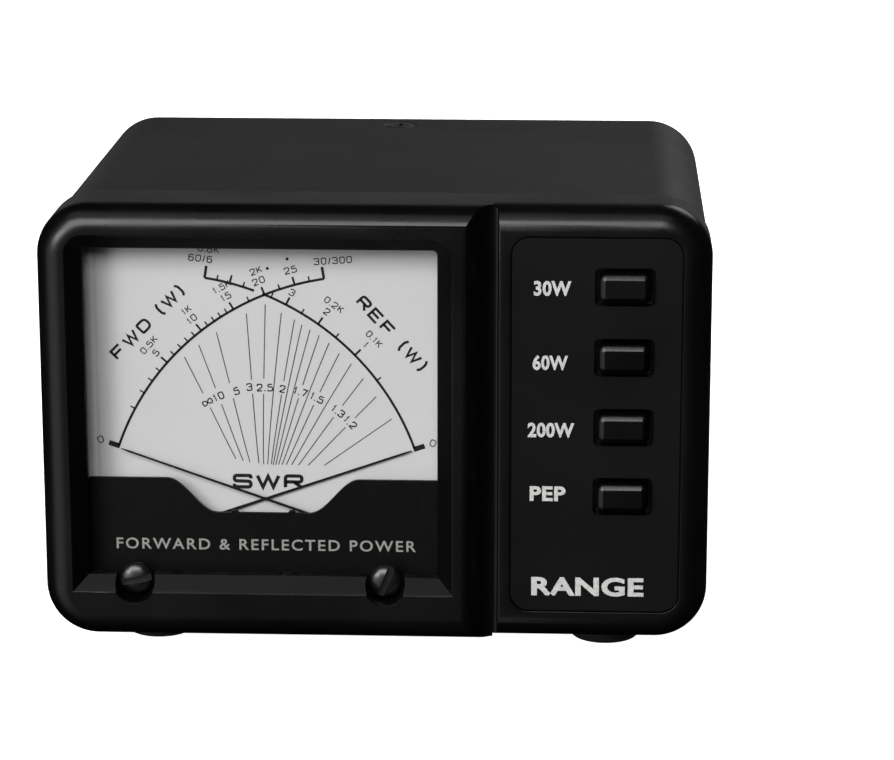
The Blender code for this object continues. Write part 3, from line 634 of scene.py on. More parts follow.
dull_recess(place(bezel(), "housing", "bezel_plastic", PLASTIC, "front_bezel"))


# Label plate, caps and screws of the front

def label_plate():
    low = (PLATE_LOW.x, PLATE_LOW.z)
    high = (PLATE_HIGH.x, PLATE_HIGH.z)
    y0, y1 = PLATE_LOW.y, PLATE_HIGH.y
    profile = [(-0.06, y0), (-0.02, y0 + 0.02), (0, y0 + 0.06), (0, y1)]
    made = rim_loft("label_plate_skin", low, high, 3.1, profile, 16)
    holes = []
    for button in BUTTONS:
        corners = around(middle(f"button_cap_{button}"), 5.35, 3.45)
        holes.append(rim_loft(f"p_{button}", *corners, 1.0, [(0, y0 - 1), (0, y1 + 1)], 8))
    return cut(made, *holes)


place(label_plate(), "housing", "label_film", FILM, "label_plate")


def cap(button):
    """A cap with a flat face inside four shallow bevels, and the flange that keeps it in."""
    node = f"button_cap_{button}"
    low, high = cad(node)
    spot = middle(node)
    front = low.y
    profile = [(-1.20, front), (-1.08, front + 0.01), (-0.95, front + 0.05)]
    profile += [(-0.38, front + 0.36), (-0.20, front + 0.52), (-0.06, front + 0.82)]
    profile += [(0.0, front + 1.25), (0.0, high.y)]
    made = rim_loft(f"cap_{button}", *around(spot, 4.6, 2.7), 1.35, profile, 8)
    flange = box("flange", (spot.x - 6.3, 5.4, spot.z - 4.2), (spot.x + 6.3, 6.4, spot.z + 4.2))
    return join(made, flange)


for button in BUTTONS:
    node = f"button_cap_{button}"
    place(cap(button), f"button_{button}", "cap_plastic", CAPS, node, smooth=28)


def return_spring(button):
    """The coil behind a cap."""
    node = f"return_spring_{button}"
    low, high = cad(node)
    spot = middle(node)
    wire, spread, turns, per_turn = 0.22, 2.1, 4, 24
    front, back = low.y + wire, high.y - wire
    rings = []
    for step in range(turns * per_turn + 1):
        angle = math.tau * step / per_turn
        out = Vector((math.cos(angle), 0, math.sin(angle)))
        depth = front + (back - front) * step / (turns * per_turn)
        centre = Vector((spot.x, depth, spot.z)) + out * spread
        ring = []
        for side in range(8):
            turn = math.tau * side / 8
            deep = Vector((0, wire * math.sin(turn), 0))
            ring.append(centre + out * wire * math.cos(turn) + deep)
        rings.append(ring)
    return loft(f"coil_spring_{button}", rings)


for button in BUTTONS:
    node = f"return_spring_{button}"
    spring = place(return_spring(button), "housing", "steel", STEEL, node)
    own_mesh(spring)


def zero_screw(side, turn):
    """A domed screw with a slot, and the off-centre pin that works the zero lever."""
    node = f"zero_screw_{side}"
    x, _, z = middle(node)
    front = cad(node)[0].y
    profile = [(0, front)]
    for step in range(1, 11):
        angle = math.pi / 2 * step / 10
        profile.append((2.9 * math.sin(angle), front + 1.25 * (1 - math.cos(angle))))
    profile += [(2.9, 4.2), (1.7, 4.2), (1.7, 8.4), (0, 8.4)]
    made = lathe(f"adjuster_{side}", profile, (x, 0, z))
    pivot = middle(f"yoke_{side}")
    away = Vector((pivot.x - x, 0, pivot.z - z)).normalized() * 0.9
    join(made, rod("pin", 0.5, 8.0, 11.1, (x + away.x, 0, z + away.z), steps=16))
    slot = box("slot", (-4, front - 1, -0.62), (4, front + 1.0, 0.62))
    return cut(made, turned(slot, -turn, (x, 0, z)))


SLOT_TURN = {"fwd": 68, "ref": 10}
for side, turn in SLOT_TURN.items():
    screw = zero_screw(side, math.radians(turn))
    place(screw, f"adjuster_{side}", "screw_black", SCREWS, f"zero_screw_{side}")


# Cover, pan, feet

SHEET = 1.0
SKIN_SIDE = COVER_HIGH.x
SKIN_TOP = COVER_HIGH.z
SKIN_R = 9.8
SEAM = COVER_LOW.z


def arc(cx, cz, radius, start, end, steps=20):
    points = []
    for step in range(steps + 1):
        angle = math.radians(start + (end - start) * step / steps)
        points.append((cx + radius * math.cos(angle), cz + radius * math.sin(angle)))
    return points


def mirrored(points):
    """A half outline, from the middle to one side, made whole."""
    return [(-x, z) for x, z in reversed(points)] + [p for p in points if p[0] != 0]


def cover():
    cx, cz = SKIN_SIDE - SKIN_R, SKIN_TOP - SKIN_R
    outer = [*arc(cx, cz, SKIN_R, 90, 0), (SKIN_SIDE, SEAM)]
    inner = [(SKIN_SIDE - SHEET, SEAM), *arc(cx, cz, SKIN_R - SHEET, 0, 90)]
    whole = mirrored(outer)
    whole += inner + [(-x, z) for x, z in reversed(inner)]
    made = prism("cover", whole, COVER_LOW.y, COVER_HIGH.y)
    bevel(made, 0.18)
    sinks = []
    places = {
        "top": ("Z", middle("cover_screw_top"), SKIN_TOP, 1),
        "left": ("X", middle("cover_screw_left"), -SKIN_SIDE, -1),
        "right": ("X", middle("cover_screw_right"), SKIN_SIDE, 1),
    }
    for word, (axis, spot, surface, sign) in places.items():
        cone = [(0, 0.6), (3.9, 0.6), (3.75, 0.15), (3.5, 0.0), (3.3, -0.1), (1.8, -1.0)]
        cone += [(1.8, -3), (0, -3)]
        cone = [(r, surface + sign * a) for r, a in cone]
        at = (spot.x, spot.y, 0) if axis == "Z" else (0, spot.y, spot.z)
        sinks.append(lathe(f"sink_{word}", cone, at, axis, 48))
    return cut(made, *sinks)


place(cover(), "housing", "cover_paint", PAINT, "top_cover")


def pan():
    low = PAN_LOW.z
    cx, cz = SKIN_SIDE - SKIN_R, low + SKIN_R
    flange = SKIN_SIDE - SHEET - GAP
    top = PAN_HIGH.z
    outer = [(0, low), *arc(cx, cz, SKIN_R, -90, 0), (flange, SEAM - GAP), (flange, top)]
    inner = [(flange - SHEET, top), (flange - SHEET, SEAM - GAP - 0.7)]
    inner += [*arc(cx, cz, SKIN_R - SHEET, -4, -90), (0, low + SHEET)]
    right = outer[1:] + inner[:-1]
    whole = right + [(-x, z) for x, z in reversed(right)]
    made = prism("pan", whole, PAN_LOW.y, PAN_HIGH.y)
    bevel(made, 0.15)
    holes = []
    for word, sign in (("left", -1), ("right", 1)):
        spot = middle(f"cover_screw_{word}")
        ends = sorted((sign * 50, sign * 62))
        holes.append(rod(f"pan_{word}", 1.8, *ends, (0, spot.y, spot.z), "X", 32))
    return cut(made, *holes)


place(pan(), "housing", "cover_paint", PAINT, "chassis_pan")


def foot(node):
    low, high = cad(node)
    spot = middle(node)
    drop = high.z - low.z
    radius = (high.x - low.x) / 2
    edge = 1.1
    profile = [(0, 0), (radius - 0.15, 0), (radius, -0.15), (radius, -drop + edge)]
    profile += arc(radius - edge, -drop + edge, edge, 0, -90, 8)[1:]
    profile += [(3.4, -drop), (3.2, -drop + 0.2), (3.2, -drop + 2.6), (0, -drop + 2.6)]
    return lathe(node + "_round", profile, (spot.x, spot.y, high.z), "Z")


def cross_screw(name, spot, outward, radius, height, depth_below):
    """A pan or countersunk screw head with a cross recess, its face towards outward."""
    profile = [(0, height), (radius * 0.55, height * 0.97), (radius * 0.85, height * 0.72)]
    profile += [(radius * 0.97, height * 0.38), (radius, 0.0), (radius * 0.5, -depth_below)]
    profile += [(0, -depth_below)]
    head = lathe(name, profile, (0, 0, 0), "Z", 40)
    arm = radius * 0.52
    for wide, high in ((arm, radius * 0.13), (radius * 0.13, arm)):
        slot = box("recess", (-wide, -high, height - radius * 0.38), (wide, high, height + 1))
        cut(head, slot)
    return facing(head, spot, outward)


for row in ("front", "rear"):
    for word in ("left", "right"):
        node = f"foot_{row}_{word}"
        place(foot(node), "housing", "foot_rubber", RUBBER, node)
        spot = middle(node)
        low, _ = cad(node)
        at = (spot.x, spot.y, low.z + 2.2)
        screw = cross_screw(f"foot_screw_{row}_{word}", at, (0, 0, -1), 2.6, 0.9, 0.3)
        place(screw, "housing", "steel", STEEL)


def cover_screw(word, spot, outward):
    screw = cross_screw(f"case_screw_{word}", (0, 0, 0), (0, 0, 1), 2.85, 0.12, 1.1)
    join(screw, rod("shank", 1.4, -0.9, -6.0, (0, 0, 0), "Z", 32))
    return facing(screw, spot, outward)


top = middle("cover_screw_top")
side_spot = middle("cover_screw_right")
SCREW_AT = {
    "top": ((top.x, top.y, SKIN_TOP - 0.14), (0, 0, 1)),
    "left": ((-SKIN_SIDE + 0.14, side_spot.y, side_spot.z), (-1, 0, 0)),
    "right": ((SKIN_SIDE - 0.14, side_spot.y, side_spot.z), (1, 0, 0)),
}
for word, (spot, outward) in SCREW_AT.items():
    screw = cover_screw(word, spot, outward)
    place(screw, "housing", "steel", SCREWS, f"cover_screw_{word}")


# Meter front: lens, mask, pointers

LENS_LOW, LENS_HIGH = cad("meter_lens")
MASK_LOW, MASK_HIGH = cad("meter_mask")
DIAL_Y = cad("dial_plate")[0].y


SCREW_BORE = 2.1


def lens():
    low = (WINDOW[0][0] + GAP, LENS_LOW.z)
    high = (LENS_HIGH.x, LENS_HIGH.z)
    y0, y1 = LENS_LOW.y, LENS_HIGH.y
    profile = [(-0.04, y0), (0, y0 + 0.04), (0, y1)]
    made = rim_loft("lens", low, high, 0.4, profile, 4)
    inside = [(-1.2, y0 + 1.2), (-1.2, y1 + 1)]
    cutters = [rim_loft("inside", low, high, 1.3, inside, 4)]
    for side in SIDES:
        x, _, z = middle(f"zero_screw_{side}")
        cutters.append(rod("bore_" + side, SCREW_BORE, 2, 7, (x, 0, z)))
    return cut(made, *cutters)


place(lens(), "housing", "lens_clear", CLEAR, "meter_lens")


def mask():
    """The mask, its top edge cut away in a wide scoop with two small bumps on its floor."""
    x_mid, floor_z, top_z = -20.5, 22.2, MASK_HIGH.z + 1.0
    floor_half, top_half = 8.3, 17.5
    steps = 28
    edge = []
    for step in range(steps + 1):
        share = step / steps
        half = top_half + (floor_half - top_half) * share
        edge.append((half, top_z - (top_z - floor_z) * (1 - math.cos(math.pi * share)) / 2))
    right = [(x_mid + half, z) for half, z in edge]
    left = [(x_mid - half, z) for half, z in reversed(edge)]
    bumps = []
    for centre in (x_mid + 5.2, x_mid - 5.2):
        for step in range(9):
            angle = math.pi * step / 8
            bumps.append((centre + 0.7 * math.cos(angle), floor_z + 0.5 * math.sin(angle)))
    outline = [(MASK_LOW.x, MASK_LOW.z), (MASK_HIGH.x, MASK_LOW.z), (MASK_HIGH.x, top_z)]
    outline += [*right, *bumps, *left, (MASK_LOW.x, top_z)]
    made = prism("mask", outline, MASK_LOW.y, MASK_HIGH.y)
    holes = []
    for side in SIDES:
        x, _, z = middle(f"zero_screw_{side}")
        holes.append(rod("mask_" + side, SCREW_BORE, 5, 9, (x, 0, z)))
    return cut(made, *holes)


place(mask(), "housing", "mask_black", MASKED, "meter_mask")

CENTRE_X = -20.0
PIVOT = {side: middle(f"yoke_{side}") * Vector((1, 0, 1)) for side in SIDES}
ARC_R = 47.8
ZERO = 19.3  # degrees above the horizontal at no power
SWEEP = 61.7
FULL = {"fwd": 30.0, "ref": 6.0}  # power at the end of each scale
CURVE = {"fwd": 0.22, "ref": 0.03}  # share of each that goes with the power, not its root


def scale_angle(side, power):
    """The angle above the horizontal, in degrees, at which a pointer shows a power."""
    share = math.sqrt(power / FULL[side])
    return ZERO + SWEEP * (share * (1 - CURVE[side]) + share * share * CURVE[side])


def on_scale(side, angle, radius):
    """The point (x, z) at an angle above the horizontal and a distance from the pivot."""
    a = math.radians(angle)
    pivot = PIVOT[side]
    return (pivot.x - SIGN[side] * radius * math.cos(a), pivot.z + radius * math.sin(a))


def pointer(side):
    low, _ = cad(f"pointer_{side}")
    y0, y1 = low.y + 0.1, low.y + 0.35
    pivot = PIVOT[side]
    blade = [(-4.8, 0.8), (-1.6, 0.8), (-1.0, 0.4), (4.0, 0.24), (45.5, 0.15), (47.25, 0.06)]
    outline = blade + [(x, -z) for x, z in reversed(blade)]
    made = prism(f"needle_{side}", outline, y0, y1)
    made.data.transform(Matrix.Rotation(math.radians(ZERO), 4, "Y").inverted())
    if SIGN[side] > 0:
        made.data.transform(Matrix.Scale(-1, 4, (1, 0, 0)))
        made.data.flip_normals()
    made.data.transform(Matrix.Translation(pivot))
    ring = [(1.8, low.y), (1.8, low.y + 0.4), (0.9, low.y + 0.4), (0.9, low.y)]
    hub = lathe("hub", ring, pivot, steps=40)
    cut(made, rod("eye", 0.9, y0 - 1, y1 + 1, pivot))
    return join(made, hub)


for side in SIDES:
    place(pointer(side), f"needle_{side}", "pointer_black", NEEDLE, f"pointer_{side}")


# Print on the dial

# Letters drawn as strokes in a box 1 wide and 1 high. A stroke is a list of corners; a letter's
# second entry is how far its corners are rounded, and ~ stands for infinity.
LETTERS = {
    "0": ([[(0.5, 1), (0, 1), (0, 0), (1, 0), (1, 1), (0.5, 1)]], 0.42),
    "1": ([[(0.15, 0.72), (0.55, 1), (0.55, 0)]], 0.0),
    "2": ([[(0, 0.72), (0, 1), (1, 1), (1, 0.56), (0, 0.1), (0, 0), (1, 0)]], 0.26),
    "3": (
        [
            [(0, 0.80), (0, 1), (1, 1), (1, 0.54), (0.35, 0.54)],
            [(0.5, 0.54), (1, 0.54), (1, 0), (0, 0), (0, 0.22)],
        ],
        0.24,
    ),
    "5": ([[(0.95, 1), (0.08, 1), (0.02, 0.58), (1, 0.62), (1, 0), (0, 0), (0, 0.18)]], 0.20),
    "6": ([[(0.95, 0.86), (0.9, 1), (0, 1), (0, 0), (1, 0), (1, 0.60), (0.05, 0.58)]], 0.28),
    "7": ([[(0, 1), (1, 1), (0.35, 0)]], 0.0),
    "A": ([[(0, 0), (0.5, 1), (1, 0)], [(0.2, 0.34), (0.8, 0.34)]], 0.0),
    "C": ([[(1, 0.72), (1, 1), (0, 1), (0, 0), (1, 0), (1, 0.28)]], 0.36),
    "D": ([[(0.3, 0), (0, 0), (0, 1), (0.3, 1)], [(0.1, 1), (1, 1), (1, 0), (0.1, 0)]], 0.45),
    "E": ([[(1, 1), (0, 1), (0, 0), (1, 0)], [(0, 0.52), (0.85, 0.52)]], 0.0),
    "F": ([[(1, 1), (0, 1), (0, 0)], [(0, 0.50), (0.85, 0.50)]], 0.0),
    "K": ([[(0, 0), (0, 1)], [(0.95, 1), (0, 0.38)], [(0.34, 0.6), (1, 0)]], 0.0),
    "N": ([[(0, 0), (0, 1), (1, 0), (1, 1)]], 0.0),
    "R": ([[(0, 0), (0, 1), (1, 1), (1, 0.48), (0, 0.48)], [(0.52, 0.48), (1, 0)]], 0.26),
    "S": ([[(1, 0.74), (1, 1), (0, 1), (0, 0.53), (1, 0.49), (1, 0), (0, 0), (0, 0.27)]], 0.25),
    "T": ([[(0, 1), (1, 1)], [(0.5, 1), (0.5, 0)]], 0.0),
    "V": ([[(0, 1), (0.5, 0), (1, 1)]], 0.0),
    "W": ([[(0, 1), (0.26, 0), (0.5, 0.95), (0.74, 0), (1, 1)]], 0.0),
    "X": ([[(0, 0), (1, 1)], [(0, 1), (1, 0)]], 0.0),
    "(": ([[(1, 1.15), (0, 0.85), (0, 0.1), (1, -0.19)]], 0.30),
    ")": ([[(0, 1.15), (1, 0.85), (1, 0.1), (0, -0.19)]], 0.30),
    "/": ([[(0, -0.05), (1, 1.05)]], 0.0),
    ".": ([[(0.5, -0.07), (0.5, 0.10)]], 0.0),
    "~": (
        [
            [(0.5, 0.5), (0.30, 0.85), (0, 0.85), (0, 0.15), (0.30, 0.15)]
            + [(0.70, 0.85), (1, 0.85), (1, 0.15), (0.70, 0.15), (0.5, 0.5)]
        ],
        0.20,
    ),
}
# Widths of the letters that aren't as wide as the rest.
NARROW = {"1": 0.62, "(": 0.34, ")": 0.34, ".": 0.22, "/": 0.5, " ": 0.55, "W": 1.25, "~": 1.9}


def soften(points, radius, wide, high):
    """A polyline's corners rounded, after it has been scaled to its size."""
    points = [Vector((x * wide, z * high)) for x, z in points]
    if not radius:
        return points
    made = [points[0]]
    for before, corner, after in zip(points, points[1:], points[2:]):
        reach = min(radius * high, (before - corner).length * 0.5, (after - corner).length * 0.5)
        start = corner + (before - corner).normalized() * reach
        end = corner + (after - corner).normalized() * reach
        for step in range(6):
            t = step / 5
            made.append(start.lerp(corner, t).lerp(corner.lerp(end, t), t))
    made.append(points[-1])
    kept = [made[0]]
    for point in made[1:]:
        if (point - kept[-1]).length > 0.004:
            kept.append(point)
    return kept


class Print:
    """Flat marks a hair in front of a surface, gathered into one piece."""

    def __init__(self, name, surface, thickness=0.02):
        self.name = name
        self.front = surface - 0.004 - thickness
        self.back = surface - 0.004
        self.bm = bmesh.new()

    def ribbon(self, left, right):
        rows = []
        for y in (self.front, self.back):
            rows.append([[self.bm.verts.new((x, y, z)) for x, z in row] for row in (left, right)])
        (fl, fr), (bl, br) = rows
        for i in range(len(left) - 1):
            j = i + 1
            for face in (
                (fl[i], fl[j], fr[j], fr[i]),
                (bl[i], br[i], br[j], bl[j]),
                (fl[i], bl[i], bl[j], fl[j]),
                (fr[i], fr[j], br[j], br[i]),
            ):
                self.bm.faces.new(face)
        self.bm.faces.new((fl[0], fr[0], br[0], bl[0]))
        self.bm.faces.new((fl[-1], bl[-1], br[-1], fr[-1]))

    def strip(self, points, width):
        """A line along points (x, z), closed where it ends on its first point."""
        points = [Vector(point) for point in points]
        left, right = [], []
        closed = (points[0] - points[-1]).length < 0.001
        for i, point in enumerate(points):
            before = points[i - 1] if i else points[-2] if closed else None
            after = points[i + 1] if i + 1 < len(points) else points[1] if closed else None
            ways = []
            if before is not None:
                ways.append((point - before).normalized())
            if after is not None:
                ways.append((after - point).normalized())
            along = (ways[0] + ways[-1]).normalized()
            across = Vector((-along.y, along.x))
            half = width / 2 / max(0.45, along.dot(ways[0]))
            left.append(point + across * half)
            right.append(point - across * half)
        self.ribbon(left, right)

    def dot(self, x, z, radius):
        steps = [math.pi * i / 8 for i in range(1, 8)]
        sides = []
        for way in (-1, 1):
            sides.append([(x + way * radius * math.sin(t), z - radius * math.cos(t)) for t in steps])
        self.ribbon(*sides)

    def text(self, words, x, z, height, turn=0.0, wide=0.6, weight=0.14, space=0.24):
        """Words centred on (x, z) in capitals of a height, turned anticlockwise by degrees. wide,
        weight and space are a letter's width, its stroke and the gap after it, over the height."""
        pen = weight * height
        high = height - pen
        widths = []
        for letter in words:
            widths.append(max(wide * height * NARROW.get(letter, 1.0) - pen, 0.01))
        gap = space * height + pen
        total = sum(widths) + gap * (len(words) - 1)
        cos, sin = math.cos(math.radians(turn)), math.sin(math.radians(turn))
        at = -total / 2
        for letter, width in zip(words, widths):
            strokes, radius = LETTERS.get(letter, ((), 0))
            for stroke in strokes:
                placed = []
                for point in soften(stroke, radius, width, high):
                    u, v = at + point.x, point.y - high / 2
                    placed.append((x + u * cos - v * sin, z + u * sin + v * cos))
                self.strip(placed, pen)
            at += width + gap

    def bold(self, words, x, z, height, wide=1.0, weight=0.03, spacing=1.0):
        """Words centred on (x, z) in the built-in font, thickened."""
        curve = bpy.data.curves.new(words, "FONT")
        curve.body = words
        curve.space_character = spacing
        curve.offset = weight
        curve.resolution_u = 4
        curve.extrude = 0.5
        holder = link("letters", curve)
        shaped = holder.evaluated_get(bpy.context.evaluated_depsgraph_get())
        mesh = bpy.data.meshes.new_from_object(shaped)
        bpy.data.objects.remove(holder)
        bpy.data.curves.remove(curve)
        xs = [v.co.x for v in mesh.vertices]
        ys = [v.co.y for v in mesh.vertices]
        scale = height / (max(ys) - min(ys))
        centre = ((max(xs) + min(xs)) / 2, (max(ys) + min(ys)) / 2, 0)
        mesh.transform(Matrix.Translation(centre).inverted())
        mesh.transform(Matrix.Diagonal((scale * wide, scale, self.back - self.front, 1)))
        mesh.transform(Matrix.Rotation(math.pi / 2, 4, "X"))
        mesh.transform(Matrix.Translation((x, (self.front + self.back) / 2, z)))
        self.bm.from_mesh(mesh)
        bpy.data.meshes.remove(mesh)

    def done(self, body, slot, material):
        bmesh.ops.remove_doubles(self.bm, verts=self.bm.verts, dist=0.0001)
        mesh = bpy.data.meshes.new(self.name)
        bmesh.ops.recalc_face_normals(self.bm, faces=self.bm.faces)
        self.bm.to_mesh(mesh)
        self.bm.free()
        return place(link(self.name, mesh), body, slot, material, smooth=0)


def arc_points(side, start, end, radius):
    count = max(2, round(abs(end - start)))
    return [on_scale(side, start + (end - start) * i / count, radius) for i in range(count + 1)]


def label(marks, side, angle, radius, words, height, **how):
    x, z = on_scale(side, angle, radius)
    marks.text(words, x, z, height, turn=SIGN[side] * (90 - angle), **how)


def scales():
    """The two arcs with their marks, numbers and words. The reflected one has a gap at 4."""
    marks = Print("dial_scales", DIAL_Y)
    end = ZERO + SWEEP
    gap = scale_angle("ref", 4.0)
    arcs = (("fwd", ZERO, end), ("ref", ZERO, gap - 1.3), ("ref", gap + 0.6, end))
    for side, start, stop in arcs:
        marks.strip(arc_points(side, start, stop, ARC_R), 0.46)
    powers = {
        "fwd": [*range(1, 16), 17.5, 20, 22.5, 25, 27.5, 30],
        "ref": [half / 2 for half in range(1, 13) if half != 8],
    }
    majors = {"fwd": (5, 10, 15, 20, 25, 30), "ref": (1, 2, 3, 5, 6)}
    for side in SIDES:
        for power in powers[side]:
            angle = scale_angle(side, power)
            major = power in majors[side]
            last = power == FULL[side]
            reach = 2.2 if last else 1.5 if major else 0.95
            line = [on_scale(side, angle, ARC_R), on_scale(side, angle, ARC_R + reach)]
            marks.strip(line, 0.5 if last else 0.38 if major else 0.28)
        bar = [on_scale(side, ZERO, ARC_R - 0.2), on_scale(side, ZERO, ARC_R + 1.9)]
        marks.strip(bar, 0.95)
        x, z = on_scale(side, ZERO, ARC_R + 3.5)
        marks.text("0", x, z, 1.35, turn=SIGN[side] * 24, wide=0.85)
    small = {"wide": 0.78, "weight": 0.15, "space": 0.20}
    for power, upper in ((5, "0.5K"), (10, "1K"), (15, "1.5K"), (20, "2K")):
        angle = scale_angle("fwd", power)
        label(marks, "fwd", angle, ARC_R + 2.7, str(power), 1.3, **small)
        label(marks, "fwd", angle + 0.3, ARC_R + 4.6, upper, 1.25, **small)
    angle = scale_angle("fwd", 25)
    label(marks, "fwd", angle, ARC_R + 2.8, "25", 1.3, **small)
    marks.dot(*on_scale("fwd", angle, ARC_R + 4.9), 0.28)
    marks.dot(*on_scale("fwd", scale_angle("fwd", 20) + 2.6, ARC_R + 4.3), 0.28)
    x, z = on_scale("fwd", end + 2.4, ARC_R + 3.1)
    marks.text("30/300", x, z, 1.3, turn=4, **small)
    x, z = on_scale("ref", end + 1.4, ARC_R + 3.4)
    marks.text("60/6", x, z, 1.3, turn=-6, **small)
    marks.text("0.6K", x + 1.5, z + 1.7, 1.25, turn=-6, **small)
    for power, upper in ((1, "0.1K"), (2, "0.2K")):
        angle = scale_angle("ref", power)
        label(marks, "ref", angle, ARC_R + 2.8, str(power), 1.3, **small)
        label(marks, "ref", angle - 0.3, ARC_R + 4.6, upper, 1.25, **small)
    label(marks, "ref", scale_angle("ref", 3), ARC_R + 2.5, "3", 1.3, **small)
    big = {"wide": 1.08, "weight": 0.20, "space": 0.26}
    label(marks, "fwd", 44.6, ARC_R + 7.6, "FWD (W)", 2.3, **big)
    label(marks, "ref", 42.3, ARC_R + 7.7, "REF (W)", 2.3, **big)
    marks.text("SWR", CENTRE_X + 0.2, 27.5, 2.8, wide=1.30, weight=0.23, space=0.20)
    return marks


scales().done("housing", "dial_white", INK)


def crossing(forward, reflected):
    """Where the two pointers cross when they show these powers."""
    a = math.radians(scale_angle("fwd", forward))
    b = math.radians(scale_angle("ref", reflected))
    spread = PIVOT["fwd"].x - PIVOT["ref"].x
    reach = spread / (math.cos(a) + math.sin(a) * math.cos(b) / math.sin(b))
    return (PIVOT["fwd"].x - reach * math.cos(a), PIVOT["fwd"].z + reach * math.sin(a))


def off_scale(x, z):
    """How far a point is past the end that the ratio lines stop at, just inside the arcs."""
    far = max(math.hypot(x - PIVOT[s].x, z - PIVOT[s].z) for s in SIDES)
    return far - (ARC_R - LINE_END)


def swr_line(swr):
    """The crossings for one standing-wave ratio, from just above the word below, and carried on
    straight to just inside the arcs."""
    share = 1.0 if swr is None else (swr - 1) / (swr + 1)
    ratio = share * share
    points = []
    count = 160
    for i in range(1, count + 1):
        forward = FULL["fwd"] * (i / count) ** 2
        reflected = forward * ratio
        if reflected > FULL["ref"]:
            break
        x, z = crossing(forward, reflected)
        clear_of_word = z > LINE_START + 0.17 * abs(x - CENTRE_X) * (x < CENTRE_X)
        if clear_of_word and above_rest(x, z) and off_scale(x, z) < 0:
            points.append((x, z))
    if len(points) > 6:
        (x0, z0), (x1, z1) = points[-6], points[-1]
        along = Vector((x1 - x0, z1 - z0)).normalized() * 0.4
        while off_scale(x1, z1) < 0:
            x1, z1 = x1 + along.x, z1 + along.y
            points.append((x1, z1))
    return points


def above_rest(x, z):
    """True well above the reflected side's resting pointer line."""
    pivot = PIVOT["ref"]
    return z - pivot.z > (x - pivot.x) * math.tan(math.radians(ZERO)) + 0.6


LINE_START = 30.6
LINE_END = 1.9
LABEL_CENTRE = (-20.0, 24.0)
LABEL_R = 21.25
NUMBERED = (10, 5, 3, 2.5, 2, 1.7, 1.5, 1.3, 1.2)
LABELLED = {None: "~", **{swr: str(swr) for swr in NUMBERED}}
LINE_WIDTH = 0.19
# Numbers set a little right or left of their lines, clear of the next.
NUDGE = {5: 0.9, 3: -0.5, 2.5: 0.2}


def from_label_centre(point):
    return math.hypot(point[0] - LABEL_CENTRE[0], point[1] - LABEL_CENTRE[1])


def swr_lines():
    lines = Print("dial_swr_lines", DIAL_Y, 0.012)
    numbers = Print("dial_swr_numbers", DIAL_Y)
    for swr in (None, 10, 5, 3, 2.5, 2.2, 2, 1.9, 1.8, 1.7, 1.6, 1.5, 1.4, 1.3, 1.2, 1.1):
        points = swr_line(swr)
        if len(points) < 3:
            continue
        words = LABELLED.get(swr)
        if words is None:
            lines.strip(points, LINE_WIDTH)
            continue
        below = [p for p in points if from_label_centre(p) < LABEL_R - 1.15]
        above = [p for p in points if from_label_centre(p) > LABEL_R + 1.15]
        for run in (below, above):
            if len(run) > 1:
                lines.strip(run, LINE_WIDTH)
        x, z = min(points, key=lambda p: abs(from_label_centre(p) - LABEL_R))
        turn = math.degrees(math.atan2(LABEL_CENTRE[0] - x, z - LABEL_CENTRE[1]))
        x += NUDGE.get(swr, 0.0)
        numbers.text(words, x, z, 1.45, turn=turn, wide=0.74, weight=0.16, space=0.2)
    lines.done("housing", "dial_white", FAINT_INK)
    numbers.done("housing", "dial_white", INK)


swr_lines()


# Print on the mask, the label plate and the back

motto = Print("mask_print", MASK_LOW.y)
motto.bold("FORWARD & REFLECTED POWER", -20.1, 16.2, 2.1, wide=1.07, weight=0.012, spacing=1.22)
motto.done("housing", "mask_black", CREAM_INK)

plate_print = Print("label_print", PLATE_LOW.y)
# The words, their middle across, how far above the cap's middle they sit, and their stretch.
LABELS = {
    "range_1": ("30W", 31.7, -0.3, 0.88),
    "range_2": ("60W", 31.4, -1.0, 0.84),
    "range_3": ("200W", 31.6, -0.6, 0.87),
    "peak": ("PEP", 31.1, 0.4, 1.12),
}
for button, (words, x, lift, wide) in LABELS.items():
    z = middle(f"button_cap_{button}").z + lift
    plate_print.bold(words, x, z, 2.75, wide, weight=0.036, spacing=1.06)
plate_print.bold("RANGE", 38.4, 10.3, 3.55, wide=1.32, weight=0.036, spacing=1.04)
plate_print.done("housing", "label_film", PALE_INK)


# Back

PANEL_FACE = cad("rear_panel")[1].y


def socket_shell(word):
    node = f"{word}_socket_shell"
    low, high = cad(node)
    spot = middle(f"{word}_socket_contact")
    end = high.y
    outer, bore = 7.95, 4.25
    profile = [(5.1, low.y), (5.1, 89.5), (outer, 89.5), (outer, end - 0.9)]
    profile += [(outer - 0.75, end - 0.15), (outer - 0.9, end), (bore + 0.6, end)]
    profile += [(bore + 0.1, end - 0.3), (bore, end - 0.6), (bore, low.y)]
    at = (spot.x, 0, spot.z)
    body = lathe(node + "_threaded", profile, at, thread=(92.2, end - 1.0, 1.058, 0.55), steps=72)
    flange = rim_loft("flange", *around(spot, 12.7, 12.7), 1.5, [(0, 87.9), (0, 89.9)], 6)
    cut(flange, rod("eye", 4.6, 80, 95, at, steps=48))
    join(body, flange)
    notches = []
    for i in range(4):
        notch = box("notch", (-0.9, end - 1.2, 5.4), (0.9, end + 1, 9))
        notches.append(turned(notch, math.pi / 2 * i + math.pi / 4, at))
    return cut(body, *notches)


